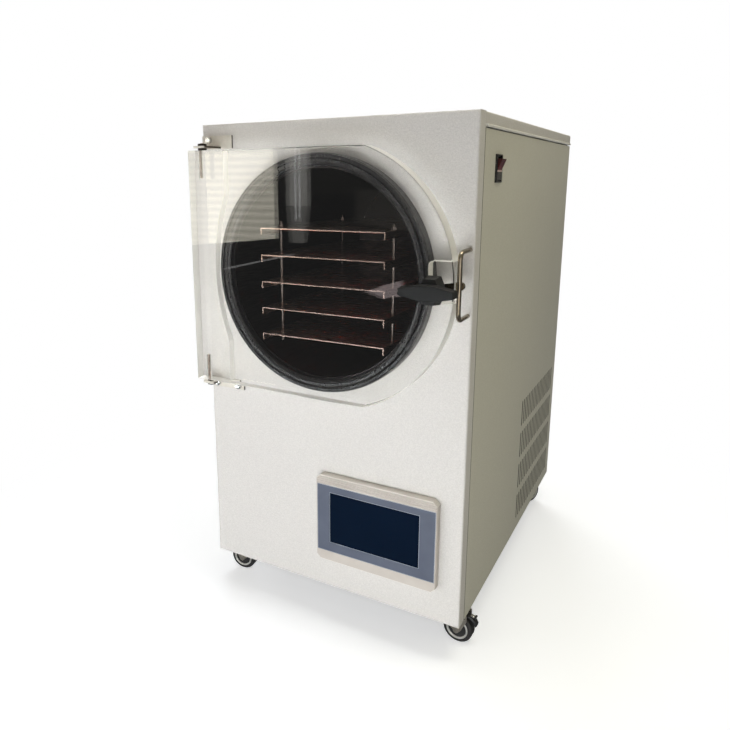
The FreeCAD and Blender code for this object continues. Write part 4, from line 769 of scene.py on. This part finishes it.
def frame_strip(bm, low, high, width, proud, sunk):
    """A flat picture frame whose outer edge is the given box, with a small bevel at the front."""
    def loop(inset, y):
        left, right, bottom, top = low.x + inset, high.x - inset, low.z + inset, high.z - inset
        corners = ((left, bottom), (right, bottom), (right, top), (left, top))
        return [bm.verts.new((x, y, z)) for x, z in corners]

    edge = width * 0.25
    front, back = low.y - proud, low.y + sunk
    loops = [loop(0, back), loop(edge, front), loop(width - edge, front), loop(width, back)]
    for first, second in zip(loops, loops[1:]):
        bridge(bm, first, second)


def panel_lines(look):
    """The pale outline round the touch panel's blue field, and round its screen."""
    bm = bmesh.new()
    frame_strip(bm, *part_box("touch_panel_overlay"), *FIELD_LINE)
    frame_strip(bm, *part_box("touch_screen"), *SCREEN_LINE)
    make_piece("panel_lines", bm, look, "cabinet")


def caster_trims(ring_look, bolt_look):
    """The pale ring in each wheel's face, and the bolts that hold the casters' plates."""
    bm = bmesh.new()
    plate_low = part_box("caster_plates")[1].z - CASTER_PLATE
    for corner in CORNERS:
        spin = JOINTS["wheel_spin_" + corner]
        axis = Vector(spin["axis"]).normalized()
        rings = bmesh.new()
        for side in (-1, 1):
            lathe(rings, Vector(spin["pos_m"]), axis * side, WHEEL_RING, 64, True)
        make_piece("wheel_rings_" + corner, rings, ring_look, "wheel_" + corner)
        swivel = Vector(JOINTS["swivel_" + corner]["pos_m"])
        for x in (swivel.x - BOLT_SPREAD, swivel.x + BOLT_SPREAD):
            for y in (swivel.y - BOLT_SPREAD, swivel.y + BOLT_SPREAD):
                place = Vector((x, y, plate_low))
                lathe(bm, place, -UP, BOLT_WASHER, 32)
                lathe(bm, place, -UP, BOLT_HEAD, 6)
    make_piece("caster_bolts", bm, bolt_look, "cabinet")


def bent_plate(bm, foot, out, across, profile, half, edge):
    """A plate of the given side profile, with rounded edges."""
    rows = []
    for width in (-half, half):
        rows.append([bm.verts.new(foot + out * s + UP * z + across * width) for s, z in profile])
    bm.faces.new(rows[0])
    bm.faces.new(rows[1][::-1])
    for k in range(len(profile)):
        n = (k + 1) % len(profile)
        bm.faces.new((rows[0][k], rows[1][k], rows[1][n], rows[0][n]))
    bmesh.ops.bevel(bm, geom=bm.edges[:], offset=edge, segments=2, profile=0.5, affect="EDGES")


def brake_levers(look, clip_look):
    """An arched lever on its pin at each front caster, which comes down outside the wheel."""
    for side in ("front_left", "front_right"):
        brake = JOINTS["brake_" + side]
        pin = Vector(brake["pos_m"])
        across = Vector(brake["axis"]).normalized()
        out = pin - Vector(JOINTS["swivel_" + side]["pos_m"])
        out -= across * out.dot(across)
        out.z = 0
        out.normalize()
        bm = bmesh.new()
        bent_plate(bm, pin, out, across, LEVER_ARCH, LEVER_HALF, LEVER_ROUND)
        for turn in (-1, 1):
            lathe(bm, pin, across * turn, LEVER_PIN, 24)
            lathe(bm, pin + out * ROLLER_OUT + UP * ROLLER_UP, across * turn, ROLLER, 24)
        piece = make_piece("brake_lever_" + side, bm, look, "brake_" + side)
        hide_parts("brake_pedal_" + side)
        bm = bmesh.new()
        bent_plate(bm, pin, out, across, CLIP, CLIP_HALF, CLIP_ROUND)
        make_piece("brake_clip_" + side, bm, clip_look, "brake_" + side)


def panel_seams(look):
    """A dark strip in the open seam between the front panel's return and each side panel: painted shade of
    the gap.
    """
    bm = bmesh.new()
    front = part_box("front_panel")[1].y
    for name, side, turn in (("left_side_panel", 0, -1), ("right_side_panel", 1, 1)):
        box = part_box(name)
        inner = box[side].x - turn * SEAM_SUNK
        outer = box[side].x + turn * SEAM_PROUD
        middle = (front + box[0].y) / 2
        across = (
            (inner, -SEAM_HALF), (outer, -SEAM_FRONT_HALF), (outer, SEAM_FRONT_HALF), (inner, SEAM_HALF),
        )
        foot, head = ([bm.verts.new((x, middle + y, corner.z)) for x, y in across] for corner in box)
        bridge(bm, foot, head)
        bm.faces.new(foot)
        bm.faces.new(head)
    make_piece("panel_seams", bm, look, "cabinet")


def lid_hems(look):
    """The rounded hem along the lower edge of each side of the lid, in a paler paint that is a painted
    highlight.
    """
    bm = bmesh.new()
    low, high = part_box("top_cover")
    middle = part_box("right_side_panel")[1].z + LID_GAP + HEM_RADIUS
    for face, side in ((low.x, -1), (high.x, 1)):
        curve = []
        for k in range(HEM_STEPS + 1):
            t = math.pi * k / HEM_STEPS
            curve.append((face + side * HEM_RADIUS * math.sin(t), middle - HEM_RADIUS * math.cos(t)))
        rows = []
        for y in (low.y + HEM_FRONT, high.y - HEM_BACK):
            rows.append([bm.verts.new((x, y, z)) for x, z in curve])
        bridge(bm, *rows)
        bm.faces.new(rows[0])
        bm.faces.new(rows[1][::-1])
    make_piece("lid_hems", bm, look, "cabinet", 60)


def rear_screws(look):
    low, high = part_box("rear_panel")
    bm = bmesh.new()
    for x in (low.x + SCREW_SIDE, high.x - SCREW_SIDE):
        for k in range(SCREW_ROWS):
            z = low.z + SCREW_END + (high.z - low.z - 2 * SCREW_END) * k / (SCREW_ROWS - 1)
            lathe(bm, Vector((x, high.y, z)), Vector((0, 1, 0)), SCREW_HEAD, 32)
    make_piece("rear_screws", bm, look, "cabinet")


def floor():
    """A pale sheet that keeps the shadow near the machine and fades into the white background."""
    mesh = bpy.data.meshes.new("floor")
    corners = [(x * FLOOR_HALF, y * FLOOR_HALF, 0) for x, y in ((-1, -1), (1, -1), (1, 1), (-1, 1))]
    mesh.from_pydata(corners, [], [(0, 1, 2, 3)])
    o = add_object("floor", mesh)
    m = Look("floor_paper", FLOOR_COLOUR, 0.9, Specular_IOR_Level=0.0)
    nt = m.nt
    paper = m.shader.outputs[0]
    white = (1, 1, 1, 1)
    path = nt.nodes.new("ShaderNodeLightPath")
    distance = nt.nodes.new("ShaderNodeVectorMath")
    distance.operation = "LENGTH"
    nt.links.new(m.coords, distance.inputs[0])
    lifted = nt.nodes.new("ShaderNodeAddShader")
    nt.links.new(paper, lifted.inputs[0])
    nt.links.new(glowing(nt, white, FLOOR_LIFT).outputs[0], lifted.inputs[1])
    fade = share(nt, distance.outputs["Value"], *FLOOR_FADE, eased=True)
    shown = mixed(nt, fade, lifted.outputs[0], glowing(nt, white, 1.0).outputs[0])
    mirrored = glowing(nt, white, FLOOR_MIRRORED).outputs[0]
    hidden = mixed(nt, after_bounce(nt, path, "Glossy Depth"), paper, mirrored)
    nt.links.new(mixed(nt, straight(nt, path), hidden, shown), nt.nodes["Material Output"].inputs[0])
    mesh.materials.append(m.mat)


scene = bpy.context.scene
scene.view_settings.view_transform = "Standard"
make_camera()
make_world()
for values in LAMPS:
    lamp(*values)
for values in REFLECTORS:
    reflector(*values)
LOOKS = finishes()
dress_nodes(LOOKS)
hinge_studs(LOOKS["stud_steel"])
panel_lines(LOOKS["panel_line"])
caster_trims(LOOKS["wheel_ring"], LOOKS["bright_zinc"])
brake_levers(LOOKS["pedal_plastic"], LOOKS["bright_zinc"])
panel_seams(LOOKS["seam_shade"])
lid_hems(LOOKS["hem_paint_painted_highlight"])
rear_screws(LOOKS["bright_zinc"])
floor()
